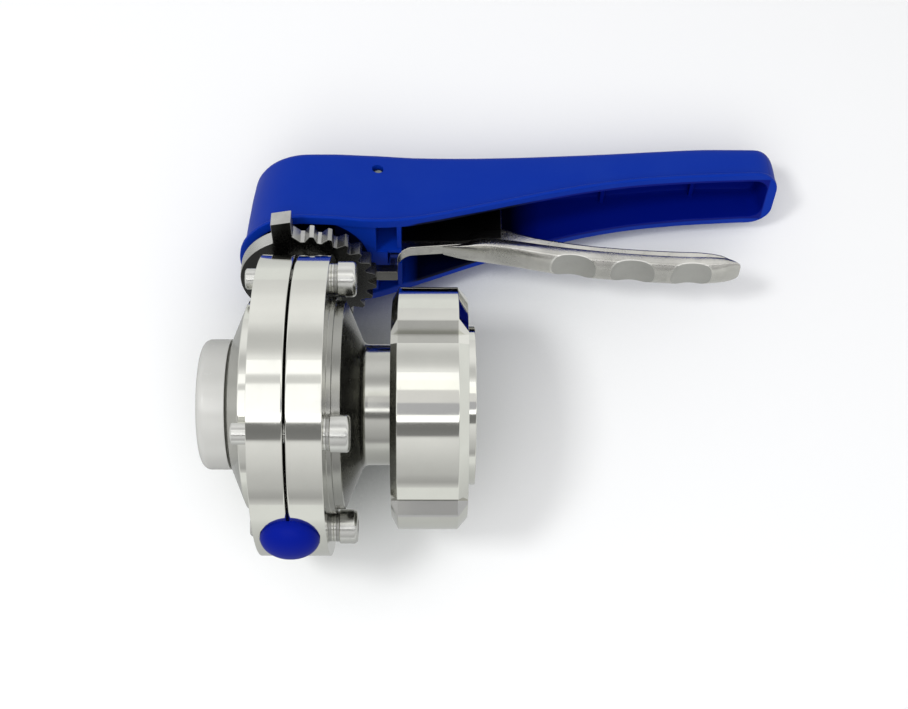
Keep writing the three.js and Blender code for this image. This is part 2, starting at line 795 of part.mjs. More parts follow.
// Ribs hang from the roof, so they start inside it and stop at the walls.
const slotHalf = leverThickness / 2 + cheekGap;
const cellEnd = cellStart + cellLength;
const ribTop = hubBase + armTop(cellEnd);
const shelfBottom = hubBase + shelfLift;
const shelfTop = shelfBottom + shelfThickness;
const slotStart = legEnd - legWidth - 2 * runGap;
const cellRibs = [-1, 1].flatMap((side) => {
  const across = side > 0 ? [slotHalf, hubRadius] : [-hubRadius, -slotHalf];
  const cheek = side > 0 ? [slotHalf, slotHalf + ribThickness] : [-slotHalf - ribThickness, -slotHalf];
  return [
    block([cellStart, cellEnd], cheek, [shelfBottom, ribTop]),
    block([cellStart, cellStart + ribThickness], across, [shelfBottom, ribTop]),
    block([cellEnd - ribThickness, cellEnd], across, [shelfBottom, ribTop]),
    block([shelfStart, cellStart + ribThickness], across, [shelfBottom, shelfTop]),
  ];
});
const shelfHalf = slotHalf + ribThickness;
const shelfMiddle = block([shelfStart, slotStart], [-shelfHalf, shelfHalf], [shelfBottom, shelfTop]);
const gripRibs = gripRibPlaces.map((x) => {
  const roof = hubBase + armTop(x) - handleRoof;
  return block([x, x + ribThickness], [-hubRadius, hubRadius], [roof - gripRibDrop, roof + handleRoof / 2]);
});
const allRibs = [...cellRibs, ...gripRibs, shelfMiddle].reduce((all, rib) => all.add(rib));
const ribs = allRibs.intersect(wholeHandle);
const boss = rod("z", bossRadius, plateTop + runGap, hubBase + hubHeight - handleRoof / 2, middleFacets);

const driveHole = drive + fitGap;
const hubTop = hubBase + hubHeight;
const pinSpot = [pivotPlace, 0, pivotZ];
const pinHole = rod("z", pinRadius + fitGap, -hubRadius, hubRadius, smallFacets);
const handleCuts = [
  block([-driveHole, driveHole], [-driveHole, driveHole], [plateTop, driveEnd + fitGap]),
  rod("z", threadRadius, driveEnd - cutPast, hubTop, holeFacets),
  rod("z", handleWasherRadius + fitGap, screwHeadZ, hubTop + cutPast, middleFacets),
  pinHole.rotate([quarterTurn, 0, 0]).translate(pinSpot),
];
const handle = handleCuts.reduce((solid, cut) => solid.subtract(cut), shell.add(ribs).add(boss));
place("handle", handle, bluePlastic());

// ------------------------------------------------------------------ handle screw, washer and pivot pin

place(
  "handle_washer",
  tube("z", handleWasherRadius, threadRadius, screwHeadZ, screwHeadZ + handleWasherThickness),
  brushed(),
);
const handleHeadZ = screwHeadZ + handleWasherThickness;
const handleHeadTop = handleHeadZ + handleScrewHeadHeight;
// Shares of the head's height and of its radius, up the side of the dome
const domeShares = [[0, 1], [0.5, 0.92], [0.85, 0.7], [1, 0.45], [1, 0]];
const dome = domeShares.map(([up, out]) => [
  handleHeadZ + handleScrewHeadHeight * up,
  handleScrewHeadRadius * out,
]);
const handleHead = turned([[handleHeadZ, 0], ...dome], "z", smallFacets);
const handleHex = hexPrism("z", handleSocket, handleHeadZ + handleSocketFloor, handleHeadTop + cutPast);
const shankEnd = screwHeadZ - handleScrewLength;
const handleShank = rod("z", handleScrewRadius, shankEnd, handleHeadZ + handleSocketFloor / 2, holeFacets);
place("handle_screw", handleHead.add(handleShank).subtract(handleHex), brushed());

const pinSection = armSection(pivotPlace);
const pinWall = pinSection.foot - handleDraft * (pivotHeight - pinSection.low);
const pinHalf = pinWall - pinInset;
place(
  "pivot_pin",
  rod("z", pinRadius, -pinHalf, pinHalf, smallFacets).rotate([quarterTurn, 0, 0]).translate(pinSpot),
  brushed(),
);

// ------------------------------------------------------------------ lever

// The heights of the grip's underside and upper side and of the wall on its back, and half widths.
const gripBottom = smoothLine(gripTip, humpHeight, [
  [0.313, 0.3894], [0.3502, 0.3009], [0.3979, 0.208], [0.4471, 0.1327], [0.4918, 0.0265],
  [0.5365, -0.0973], [0.6036, -0.2478], [0.6706, -0.354], [0.7452, -0.4381], [0.8122, -0.4912],
  [0.8867, -0.5354], [0.9463, -0.4779], [1, -0.3274],
]);
const gripUpper = smoothLine(gripTip, humpHeight, [
  [0.313, 0.4248], [0.3502, 0.4602], [0.3726, 0.5044], [0.3875, 0.5841], [0.4061, 0.6283], [0.4471, 0.531],
  [0.4918, 0.4513], [0.5812, 0.2699], [0.6706, 0.1283], [0.7601, 0.0177], [0.8569, -0.0575],
  [0.9538, -0.0929], [1, -0.2035],
]);
const backTop = smoothLine(gripTip, humpHeight, [
  [0.3577, 0.7611], [0.3949, 0.9115], [0.4396, 1], [0.4918, 0.792], [0.5365, 0.6327], [0.5849, 0.5088],
  [0.6334, 0.4071], [0.6781, 0.3363], [0.7675, 0.2363], [0.8621, 0.1708], [0.9091, 0.1504],
  [0.9538, 0.0619], [0.9888, -0.1239],
]);
const backWidth = smoothLine(gripTip, gripHalfWidth, [
  [0.3577, 0.4681], [0.4173, 0.6809], [0.4769, 0.7872], [0.9314, 0.8085],
]);
const gripWidth = smoothLine(gripTip, gripHalfWidth, [
  [0.313, 0.4043], [0.3502, 0.6383], [0.3949, 0.8936], [0.4322, 0.9787], [0.4769, 1], [0.9314, 1],
]);

// The web, seen from the side: eye, spring seat, neck, and the leg with its tooth.
const legBottom = plateTop - toothDepth - hubBase;
const noseRadius = notchRootRadius + noseGap;
function webShape() {
  const shape = new THREE.Shape();
  const leg = noseRadius + noseInset;
  const footEnd = gripFull - eyeRadius / 2;
  shape.moveTo(leg, legBottom);
  shape.lineTo(legEnd, legBottom);
  shape.lineTo(legEnd, neckHeight - bendRadius);
  shape.absarc(legEnd + bendRadius, neckHeight - bendRadius, bendRadius, Math.PI, Math.PI / 2, true);
  shape.lineTo(neckRoot, gripUpper(neckRoot) - rootDepth);
  shape.lineTo(footEnd, gripUpper(footEnd) - rootDepth);
  shape.lineTo(gripFull, backTop(gripFull) - rootDepth);
  shape.lineTo(webEnd, backTop(webEnd) - rootDepth);
  shape.lineTo(webEnd, springSeatHeight + rootDepth);
  shape.lineTo(webEnd - legWidth, springSeatHeight + 2 * rootDepth);
  shape.lineTo(springPlace + springSeatRadius, springSeatHeight);
  shape.lineTo(springPlace - springSeatRadius, springSeatHeight);
  shape.lineTo(pivotPlace + eyeRadius * 1.5, pivotHeight + eyeRadius * 0.6);
  shape.absarc(pivotPlace, pivotHeight, eyeRadius, Math.PI / 4, Math.PI, false);
  shape.lineTo(pivotPlace - eyeRadius * 0.9, pivotHeight - eyeRadius * 2);
  shape.lineTo(legEnd - legWidth, neckHeight * 2);
  shape.lineTo(legEnd - legWidth, legBottom + toothHeight);
  shape.lineTo(leg, legBottom + toothHeight);
  shape.closePath();
  return shape;
}

// The tooth narrows towards the stem so that it seats in a V notch with a gap on each flank.
const flankSlope =
  (notchTipRadius * Math.sin((notchPitch / 2) * degrees) - notchTipWidth / 2 - notchRootWidth / 2) /
  (notchTipRadius - notchRootRadius);
function toothHalf(radius) {
  return notchRootWidth / 2 + flankSlope * (radius - notchRootRadius) - fitGap * Math.hypot(1, flankSlope);
}
function noseTrim(side) {
  const wide = leverThickness;
  const inner = noseRadius - cutPast;
  const outer = noseRadius + (leverThickness / 2 - toothHalf(noseRadius)) / flankSlope;
  const corner = new THREE.Shape([
    new THREE.Vector2(inner, side * wide),
    new THREE.Vector2(inner, side * toothHalf(inner)),
    new THREE.Vector2(outer, side * (leverThickness / 2)),
    new THREE.Vector2(outer, side * wide),
  ]);
  const low = hubBase + legBottom;
  return raised(corner, low - cutPast, low + toothHeight + cutPast);
}

// The grip is a rounded bar under the web. It leans in to the seam, and fingers fit its hollows.
function gripRing(x) {
  const share = gripEndWidth + (1 - gripEndWidth) * roundedEnd(x, gripTip, gripEndRound);
  const width = gripWidth(x) * share;
  const upper = gripUpper(x);
  const bottom = gripBottom(x);
  const depth = (upper - bottom) * gripMiddle;
  const middle = bottom + depth;
  const lean = Math.min(gripLean, width / 3);
  const under = evenly(halfTurn, fullTurn, 8).map((angle) => [
    width * Math.cos(angle * degrees),
    middle + depth * Math.sin(angle * degrees),
  ]);
  const over = evenly(0, 1, 3).slice(1).map((up) => [width - lean * up * up, middle + (upper - middle) * up]);
  const other = over.map(([y, z]) => [-y, z]).reverse();
  return [...under, ...over, ...other].map(([y, z]) => [x, y, hubBase + z]);
}

// A narrower wall stands on the grip and swells to a hump over its root.
function backRing(x) {
  const share = gripEndWidth + (1 - gripEndWidth) * roundedEnd(x, gripTip - backInset, gripEndRound);
  const width = backWidth(x) * share;
  const low = gripUpper(x) - rootDepth;
  const top = backTop(x);
  const round = Math.min(backRound, width / 2);
  const side = [[width, low], [width, top - round], [width - round, top]];
  const other = side.map(([y, z]) => [-y, z]).reverse();
  return [...side, ...other].map(([y, z]) => [x, y, hubBase + z]);
}

// Places from the start of a bar to its rounded tip, closer at its root and in the round.
function barPlaces(start, tip) {
  const roundStart = tip - gripEndRound;
  const root = evenly(start, gripFull, 8);
  const middle = evenly(gripFull, roundStart, 8).slice(1);
  const roundAngles = evenly(0, quarterTurn, 4).slice(1);
  const end = roundAngles.map((angle) => roundStart + gripEndRound * Math.sin(angle * degrees));
  return [...root, ...middle, ...end];
}

const back = lofted(barPlaces(backStart, gripTip - backInset).map(backRing));
const grip = lofted(barPlaces(gripStart, gripTip).map(gripRing));
const fingerReach = 2 * gripHalfWidth;
const fingers = fingerPlaces.map((x) => {
  const centre = hubBase + gripBottom(x) + fingerDepth - fingerRadius;
  const finger = rod("z", fingerRadius, -fingerReach, fingerReach, fingerFacets);
  return finger.rotate([quarterTurn, 0, 0]).translate([x, 0, centre]);
});
const seatTop = hubBase + springSeatHeight;
const springSeat = rod("z", springSeatRadius, seatTop - springSeatDepth, seatTop)
  .translate([springPlace, 0, 0]);
const eyeHole = rod("z", pinRadius + runGap, -leverThickness, leverThickness)
  .rotate([quarterTurn, 0, 0])
  .translate(pinSpot);
const leverCuts = [eyeHole, noseTrim(1), noseTrim(-1), ...fingers];
const leverBody = profiled(webShape(), leverThickness)
  .translate([0, 0, hubBase])
  .add(grip)
  .add(back)
  .add(springSeat);
const lever = leverCuts.reduce((solid, cut) => solid.subtract(cut), leverBody);
place("lever", lever, cast());

// ------------------------------------------------------------------ return spring

// One unbroken wire: a helix of facetted rings between the lever and the roof.
const springLow = seatTop + fitGap + springWire / 2;
const springHigh = hubBase + armTop(springPlace) - handleRoof - 2 * fitGap - springWire / 2;
const springSteps = springTurns * springStepCount;

function springCentre(i) {
  const turn = (2 * Math.PI * i) / springStepCount;
  const height = springLow + ((springHigh - springLow) * i) / springSteps;
  return new THREE.Vector3(
    springPlace + springRadius * Math.cos(turn),
    springRadius * Math.sin(turn),
    height,
  );
}

function springRing(i) {
  const turn = (2 * Math.PI * i) / springStepCount;
  const out = new THREE.Vector3(Math.cos(turn), Math.sin(turn), 0);
  const up = new THREE.Vector3(0, 0, 1);
  const centre = springCentre(i);
  return Array.from({ length: springSides }, (_, j) => {
    const angle = (-2 * Math.PI * j) / springSides;
    return centre
      .clone()
      .addScaledVector(out, (springWire / 2) * Math.cos(angle))
      .addScaledVector(up, (springWire / 2) * Math.sin(angle))
      .toArray();
  });
}

const springRings = Array.from({ length: springSteps + 1 }, (_, i) => springRing(i));
place("lever_spring", lofted(springRings), springSteel());

const springGap = (springHigh - springLow) / springTurns - springWire;
console.log("least gap between turns of the spring: " + springGap.toFixed(2) + " mm");

export default valve;
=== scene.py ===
# %% [markdown]
# # A butterfly valve with a squeeze handle
#
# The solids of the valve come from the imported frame: a split round body, a union with a slotted
# nut, a capped weld stub, and a moulded handle with a cast lever under it. This script never moves
# them. It gives each one its finish, and where the facets of a solid would show it models the same
# piece again, finer, and hides the plain one behind it.

import json
import math

import bpy
from mathutils import Matrix, Vector

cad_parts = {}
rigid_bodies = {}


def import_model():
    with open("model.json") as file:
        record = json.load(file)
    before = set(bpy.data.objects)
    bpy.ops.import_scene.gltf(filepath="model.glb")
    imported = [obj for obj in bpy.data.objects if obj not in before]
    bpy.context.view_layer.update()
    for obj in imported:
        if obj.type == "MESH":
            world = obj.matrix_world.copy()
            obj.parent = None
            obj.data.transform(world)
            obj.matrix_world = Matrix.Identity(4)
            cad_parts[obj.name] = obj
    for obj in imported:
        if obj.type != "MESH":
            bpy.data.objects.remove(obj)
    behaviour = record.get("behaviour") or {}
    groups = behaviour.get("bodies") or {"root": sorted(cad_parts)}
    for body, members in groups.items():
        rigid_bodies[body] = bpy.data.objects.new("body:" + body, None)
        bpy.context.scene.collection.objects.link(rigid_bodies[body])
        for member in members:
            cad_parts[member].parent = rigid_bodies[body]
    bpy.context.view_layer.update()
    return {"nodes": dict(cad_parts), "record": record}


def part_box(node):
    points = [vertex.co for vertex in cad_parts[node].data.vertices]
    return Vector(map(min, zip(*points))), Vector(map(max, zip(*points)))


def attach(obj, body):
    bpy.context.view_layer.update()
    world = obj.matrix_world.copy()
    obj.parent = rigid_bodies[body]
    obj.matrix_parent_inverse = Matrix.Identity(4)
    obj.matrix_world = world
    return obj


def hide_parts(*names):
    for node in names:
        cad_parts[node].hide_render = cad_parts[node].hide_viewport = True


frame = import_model()
MM = 0.001

# %% [markdown]
# ## Camera
#
# The photograph looks down on a table where the valve lies on its side. The frame keeps the stem
# upright instead, so the camera looks along +Y and up from below. Its place was found by fitting
# the outlines of the round pieces, and the lens follows from the focal length in pixels.

# %% Camera
FOCAL_PIXELS = 1433
IMAGE_WIDTH = 908
YAW, PITCH, ROLL = 0.017, 0.609, -0.007

camera_data = bpy.data.cameras.new("camera")
camera_data.sensor_width = 36
camera_data.lens = FOCAL_PIXELS / IMAGE_WIDTH * camera_data.sensor_width
camera_data.clip_start = 0.01
camera = bpy.data.objects.new("camera", camera_data)
bpy.context.scene.collection.objects.link(camera)

level = Vector((math.cos(YAW), -math.sin(YAW), 0))
forward = Vector((math.sin(YAW) * math.cos(PITCH), math.cos(YAW) * math.cos(PITCH), math.sin(PITCH)))
upright = level.cross(forward)
right = math.cos(ROLL) * level + math.sin(ROLL) * upright
up = math.cos(ROLL) * upright - math.sin(ROLL) * level
camera.matrix_world = Matrix.Translation(Vector((39.21, -350.22, -226.44)) * MM) @ Matrix(
    (right, up, -forward)
).transposed().to_4x4()
bpy.context.scene.camera = camera
bpy.context.scene.view_settings.view_transform = "Standard"
print("lens:", round(camera_data.lens, 2), "mm")

# %% [markdown]
# ## Shader maths
#
# A finish is a small network of nodes. Wiring it by hand in code is long-winded, so one class wraps
# a socket and lets Python's own signs add the Math nodes, and one method adds every other node.

# %% Shader maths
class Wire:
    """A socket in a node tree that can be used in a sum."""

    def __init__(self, finish, socket):
        self.finish = finish
        self.socket = socket

    def maths(self, operation, *values):
        return self.finish.node("ShaderNodeMath", {"operation": operation}, list(values))

    def __add__(self, other):
        return self.maths("ADD", self, other)

    def __sub__(self, other):
        return self.maths("SUBTRACT", self, other)

    def __rsub__(self, other):
        return self.maths("SUBTRACT", other, self)

    def __mul__(self, other):
        return self.maths("MULTIPLY", self, other)

    def __truediv__(self, other):
        return self.maths("DIVIDE", self, other)

    def __pow__(self, other):
        return self.maths("POWER", self, other)

    __radd__ = __add__
    __rmul__ = __mul__

    def clamped(self):
        return self.finish.node("ShaderNodeClamp", {}, [self, 0.0, 1.0])

    def between(self, low, high, out_low=0.0, out_high=1.0):
        """This value from low to high, spread over another range and held at its ends."""
        return self.finish.node("ShaderNodeMapRange", {}, [self, low, high, out_low, out_high])


class Finish:
    """A material or world whose nodes are added by name."""

    def __init__(self, owner):
        owner.use_nodes = True
        self.owner = owner
        self.tree = owner.node_tree
        self.shader = next((n for n in self.tree.nodes if n.type == "BSDF_PRINCIPLED"), None)

    def node(self, kind, settings, inputs=(), output=0):
        made = self.tree.nodes.new(kind)
        for key, value in settings.items():
            if key == "stops":
                self.set_stops(made.color_ramp, value)
            else:
                setattr(made, key, value)
        pairs = inputs.items() if isinstance(inputs, dict) else enumerate(inputs)
        for key, value in pairs:
            self.feed(made.inputs[key], value)
        return Wire(self, made.outputs[output])

    def feed(self, socket, value):
        if isinstance(value, Wire):
            self.tree.links.new(value.socket, socket)
        elif value is not None:
            socket.default_value = value

    def set_stops(self, ramp, stops):
        for i, (place, colour) in enumerate(stops):
            stop = ramp.elements[i] if i < 2 else ramp.elements.new(place)
            stop.position = place
            stop.color = colour if len(colour) == 4 else (*colour, 1)

    def axes(self, vector):
        parts = self.tree.nodes.new("ShaderNodeSeparateXYZ")
        self.feed(parts.inputs[0], vector)
        return [Wire(self, socket) for socket in parts.outputs]

    def vector(self, x, y, z):
        return self.node("ShaderNodeCombineXYZ", {}, [x, y, z])

    def blend(self, share, first, second):
        return self.node("ShaderNodeMix", {"data_type": "RGBA"}, {0: share, 6: first, 7: second}, 2)

    def noise(self, vector, scale, detail=3.0, roughness=0.5):
        return self.node(
            "ShaderNodeTexNoise",
            {},
            {"Vector": vector, "Scale": scale, "Detail": detail, "Roughness": roughness},
        )

    def place(self):
        """A point on the piece in its own coordinates, in metres from the crossing of the axes."""
        return self.node("ShaderNodeTexCoord", {}, (), "Object")

    def plain(self, **values):
        for key, value in values.items():
            self.feed(self.shader.inputs[key.replace("_", " ")], value)

    def bump(self, height, distance, strength=1.0):
        values = {"Height": height, "Distance": distance, "Strength": strength}
        normal = self.node("ShaderNodeBump", {}, values)
        self.feed(self.shader.inputs["Normal"], normal)


def new_finish(name, **values):
    finish = Finish(bpy.data.materials.new(name))
    finish.plain(**values)
    return finish


print("shader helpers ready")

# %% [markdown]
# ## Turned steel
#
# The body, the nut and the liner are turned on a lathe and then polished, so they are nearly
# mirrors, with very fine grooves that run round the flow axis. The grooves are a noise read along
# the profile only, so it is the same all the way round. A second, soft noise makes the gloss uneven,
# as handling does, and a few fine scratches cross it.
#
# Not every face was polished. The step, the cone and the stub of pipe, which face the narrow gap
# between body and nut, and the milled slots of the nut are left duller, as they came off the tool,
# and their colour is darkened as painted shade of the gap and the slots, most on the union side,
# which faces the nut. How much of that is the face itself and how much is the gap's own shade is a
# guess. The chamfers at the seam between the halves are darkened as painted shade too. A mask picks
# them out by their place along the axis and their radius, the same all the way round, so that it
# stays true when the nut is spun. Reflections are left to the tent and the lamps.

# %% Turned steel
STEP_START, CONE_START, PIPE_START = 0.01002, 0.0138, 0.0190
NUT_BACK, NUT_MOUTH = 0.0291, 0.0458


def turned_finish(name, colour, roughness, groove, smudge):
    finish = new_finish(name, Metallic=1.0)
    point = finish.place()
    x, y, z = finish.axes(point)
    radius = (y * y + z * z) ** 0.5
    along = finish.vector(x * 1.0 + radius * 0.9, 0.0, 0.0)
    fine = finish.noise(along, 5200.0, 2.0, 0.6)
    coarse = finish.noise(along, 900.0, 2.0)
    cloud = finish.noise(point, 70.0, 4.0, 0.6)
    scuff = finish.noise(finish.vector(x * 9.0, y, z * 1.4), 240.0, 6.0, 0.72)
    scratch = scuff.between(0.60, 0.78)

    out = x.maths("ABSOLUTE", x)
    union_side = x.between(-0.001, 0.001)
    step = out.between(STEP_START, STEP_START + 0.0001)
    step = step * out.between(CONE_START, CONE_START + 0.0001, 1.0, 0.0)
    gap = out.between(CONE_START, CONE_START + 0.0003) * x.between(NUT_BACK, NUT_BACK + 0.0003, 1.0, 0.0)
    cone = out.between(PIPE_START, PIPE_START + 0.0012, 1.0, 0.0)
    bore = radius.between(0.0160, 0.0163)
    hung = z + 0.001
    nut_radius = (y * y + hung * hung) ** 0.5
    slot = x.between(NUT_BACK, NUT_BACK + 0.0003) * x.between(NUT_MOUTH, NUT_MOUTH + 0.0003, 1.0, 0.0)
    slot = slot * nut_radius.between(0.0343, 0.0347, 1.0, 0.0) * nut_radius.between(0.0300, 0.0304)
    seam = out.between(0.0004, 0.0005, 1.0, 0.0) * radius.between(0.040, 0.041)
    # Painted shade: dull darkens the colour of these faces, and it also makes them rougher.
    dull = gap * (0.30 + cone * 0.48) * bore * (0.5 + union_side * 0.5) + step * union_side * 0.52
    dull = (dull + slot * 0.4 + seam * 0.5).clamped()
    shade = (1.0 - dull) * (1.0 - (cloud.between(0.3, 0.7) * 0.06 + scratch * 0.05))
    finish.plain(
        Base_Color=finish.blend(shade, (0, 0, 0, 1), (*colour, 1)),
        Roughness=(roughness + cloud.between(0.35, 0.7) * smudge + scratch * 0.08 + dull * 0.25).clamped(),
    )
    finish.bump(fine * 0.6 + coarse * 0.4 + scratch * 0.5, groove)
    return finish


polished_steel = turned_finish("polished_steel", (0.80, 0.80, 0.745), 0.045, 0.0000022, 0.05)
print("finish:", polished_steel.owner.name)

# %% [markdown]
# ## Fasteners, plate and casting
#
# Screws and washers are bright and a little dull from tumbling. The notched plate is blanked from
# sheet; its faces and its teeth are darkened as painted shade. The lever is an investment casting: it
# has a grainy skin, ground matt in the three finger hollows, which also carry painted shade and a
# painted highlight on their rims, and its web inside the handle and its tooth are painted dark as shade.

# %% Fasteners, plate and casting
FINGER_AXES = ((0.081, 0.0398), (0.100, 0.03765), (0.119, 0.03655))


def grained_finish(name, colour, roughness, grain, scale, dull, uneven=0.1):
    finish = new_finish(name, Metallic=1.0)
    point = finish.place()
    speck = finish.noise(point, scale, 5.0, 0.65)
    cloud = finish.noise(point, 90.0, 3.0)
    worn = finish.noise(point, scale * 0.2, 3.0).between(0.55, 0.75)
    finish.tone = finish.blend(
        (cloud.between(0.3, 0.7) * 0.7 + worn * 0.3).clamped(),
        (*colour, 1),
        (*[c * dull for c in colour], 1),
    )
    finish.gloss = (roughness + (speck.between(0.3, 0.7) + cloud.between(0.4, 0.7)) * uneven).clamped()
    finish.relief = speck + worn * 0.4
    finish.plain(Base_Color=finish.tone, Roughness=finish.gloss)
    finish.bump(finish.relief, grain)
    return finish


fastener_steel = grained_finish("fastener_steel", (0.74, 0.74, 0.71), 0.2, 0.0000012, 1500.0, 0.88, 0.04)
x, y, z = fastener_steel.axes(fastener_steel.place())
# Painted shade: the pivot pin, set back in its bore, is coloured dark grey.
pin = x.between(0.0190, 0.0192) * x.between(0.0238, 0.0240, 1.0, 0.0)
pin = pin * z.between(0.0744, 0.0746) * z.between(0.0794, 0.0796, 1.0, 0.0)
fastener_steel.plain(Base_Color=fastener_steel.blend(pin, fastener_steel.tone, (0.20, 0.22, 0.22, 1)))
spring_steel = grained_finish("spring_steel", (0.50, 0.50, 0.48), 0.2, 0.000002, 2600.0, 0.8)

# The plate: its flat faces are painted nearly black and the cut edges of its teeth darker, as painted shade;
# only the lugs and the rest of the cut edges stay bright.
plate_steel = grained_finish("plate_steel", (0.60, 0.60, 0.58), 0.2, 0.000005, 1500.0, 0.7)
facing = plate_steel.node("ShaderNodeTexCoord", {}, (), "Normal")
side_z = plate_steel.axes(facing)[2]
x, y, z = plate_steel.axes(plate_steel.place())
flat = side_z.maths("ABSOLUTE", side_z).between(0.55, 0.9)
reach = (x * x + y * y) ** 0.5
lug = reach.between(0.0214, 0.0220)
teeth = x.between(0.004, 0.012) * (1.0 - lug)
plate_painted_shade = (flat * 0.93 + teeth * 0.8 * (1.0 - flat)).clamped()
plate_steel.plain(Base_Color=plate_steel.blend(plate_painted_shade, plate_steel.tone, (0.012, 0.012, 0.012, 1)))

# The casting: tumbled all over, and ground matt in the finger hollows, which are also darker as painted
# shade; a painted highlight brightens the top of each hollow's rim.
cast_steel = grained_finish("cast_steel", (0.68, 0.67, 0.63), 0.13, 0.00006, 1500.0, 0.62)
x, y, z = cast_steel.axes(cast_steel.place())
hollow, rim = 0.0, 0.0
for along, centre in FINGER_AXES:
    away = ((x - along) ** 2.0 + (z - centre) ** 2.0) ** 0.5
    hollow = hollow + away.between(0.01247, 0.01252, 1.0, 0.0)
    beside = (x - along).maths("ABSOLUTE", x - along).between(0.0045, 0.0064, 1.0, 0.0)
    rim = rim + away.between(0.01252, 0.0126) * away.between(0.0128, 0.0130, 1.0, 0.0) * beside
hollow = hollow.clamped()
rim_highlight = rim.clamped()
# Painted shade darkens the finger hollows, and a painted highlight brightens the top of each rim.
tone = cast_steel.blend(hollow * 0.75, cast_steel.tone, (0.50, 0.50, 0.48, 1))
tone = cast_steel.blend(rim_highlight * 0.7, tone, (0.95, 0.95, 0.91, 1))
# Painted shade: the web inside the handle is coloured nearly black, and the tooth darker.
web = x.between(0.0600, 0.0604, 1.0, 0.0) * z.between(0.0585, 0.0600)
tooth = x.between(0.0282, 0.0284, 1.0, 0.0) * z.between(0.0500, 0.0503, 1.0, 0.0)
lever_painted_shade = (web * 0.985 + tooth * 0.75).clamped()
cast_steel.plain(
    Base_Color=cast_steel.blend(lever_painted_shade, tone, (0.01, 0.01, 0.01, 1)),
    Roughness=(cast_steel.gloss + hollow * 0.3 + web * 0.2).clamped(),
)
print("finishes:", [f.owner.name for f in (fastener_steel, plate_steel, cast_steel, spring_steel)])

# %% [markdown]
# ## Plastics and rubber
#
# The handle and the plug are moulded in one deep cobalt blue. The skin is satin, with a faint grain
# from the mould and fine pale scratches where it has been carried about. The cap is thin milky
# polyethylene that lets some light through. The seals are black rubber and the bushes ivory plastic.

# %% Plastics and rubber
def moulded_finish(name, colour, roughness, worn_colour, shine=0.5, grain=0.00001):
    finish = new_finish(name, Specular_IOR_Level=shine)
    point = finish.place()
    skin = finish.noise(point, 1600.0, 3.0, 0.6)
    cloud = finish.noise(point, 60.0, 4.0, 0.6)
    x, y, z = finish.axes(point)
    hair = finish.noise(finish.vector(x * 0.6, y * 3.0, z * 5.0 + x * 1.4), 330.0, 7.0, 0.75)
    hair = hair.between(0.64, 0.74)
    finish.tone = finish.blend(
        (hair * 0.28 + cloud.between(0.4, 0.75) * 0.1).clamped(), (*colour, 1), (*worn_colour, 1)
    )
    finish.plain(
        Base_Color=finish.tone, Roughness=(roughness + cloud.between(0.3, 0.7) * 0.1 + hair * 0.1).clamped()
    )
    finish.bump(skin + hair * 0.8, grain)
    return finish


blue_plastic = moulded_finish("blue_plastic", (0.0012, 0.0298, 0.358), 0.36, (0.03, 0.08, 0.42), 0.07)

# The inside of the handle is painted shade: a deeper blue up to the middle of each wall, and nearly
# black towards the hub.
x, y, z = blue_plastic.axes(blue_plastic.place())
wall = x.between(0.034, 0.055, 0.01836, 0.01675) - x.between(0.055, 0.080, 0.0, 0.00087)
wall = wall - x.between(0.080, 0.140, 0.0, 0.00073) - z * 0.07
roof = x.between(0.0, 0.034, 0.0812, 0.0841) + x.between(0.034, 0.138, 0.0, 0.0079)
in_arm = (wall - y.maths("ABSOLUTE", y)).between(0.0, 0.0003) * x.between(0.030, 0.034)
in_arm = in_arm * x.between(0.1460, 0.1465, 1.0, 0.0)
in_hub = (0.0228 - z * 0.07 - (x * x + y * y) ** 0.5).between(0.0, 0.0003)
in_hub = in_hub * x.between(0.030, 0.034, 1.0, 0.0)
inside_painted_shade = (in_arm + in_hub).clamped() * (roof - z).between(0.0, 0.0003) * z.between(0.0531, 0.0534)
shaded = x.between(0.064, 0.074)
depth = blue_plastic.blend(shaded, (0.0, 0.0001, 0.003, 1), (0.0, 0.0006, 0.150, 1))
tone = blue_plastic.blend(inside_painted_shade * shaded.between(0.0, 1.0, 0.97, 0.82), blue_plastic.tone, depth)
# Painted shade: the plug, which faces down, is given a darker blue.
plug = z.between(-0.0400, -0.0380, 1.0, 0.0)
blue_plastic.plain(Base_Color=blue_plastic.blend(plug, tone, (0.0006, 0.0085, 0.25, 1)))
seal_rubber = moulded_finish("seal_rubber", (0.018, 0.018, 0.019), 0.62, (0.05, 0.05, 0.05))
bearing_plastic = moulded_finish("bearing_plastic", (0.80, 0.78, 0.72), 0.45, (0.7, 0.68, 0.6))
milky_plastic = moulded_finish("milky_plastic", (0.66, 0.66, 0.63), 0.2, (0.52, 0.53, 0.51), 1.0)
milky_plastic.plain(Transmission_Weight=0.2, Subsurface_Weight=0.3, IOR=1.7, Subsurface_Scale=0.002)
milky_plastic.plain(Subsurface_Radius=(0.5, 0.5, 0.5))

FINISHES = {
    "polished_steel": polished_steel,
    "fastener_steel": fastener_steel,
    "plate_steel": plate_steel,
    "cast_steel": cast_steel,
    "spring_steel": spring_steel,
    "blue_plastic": blue_plastic,
    "seal_rubber": seal_rubber,
    "bearing_plastic": bearing_plastic,
    "milky_plastic": milky_plastic,
}
for name, node in frame["nodes"].items():
    slot = next(row["material_slot"] for row in frame["record"]["subparts"] if row["node"] == name)
    node.data.materials.clear()
    node.data.materials.append(FINISHES[slot].owner)
print("finishes on the frame's nodes:", len(frame["nodes"]))

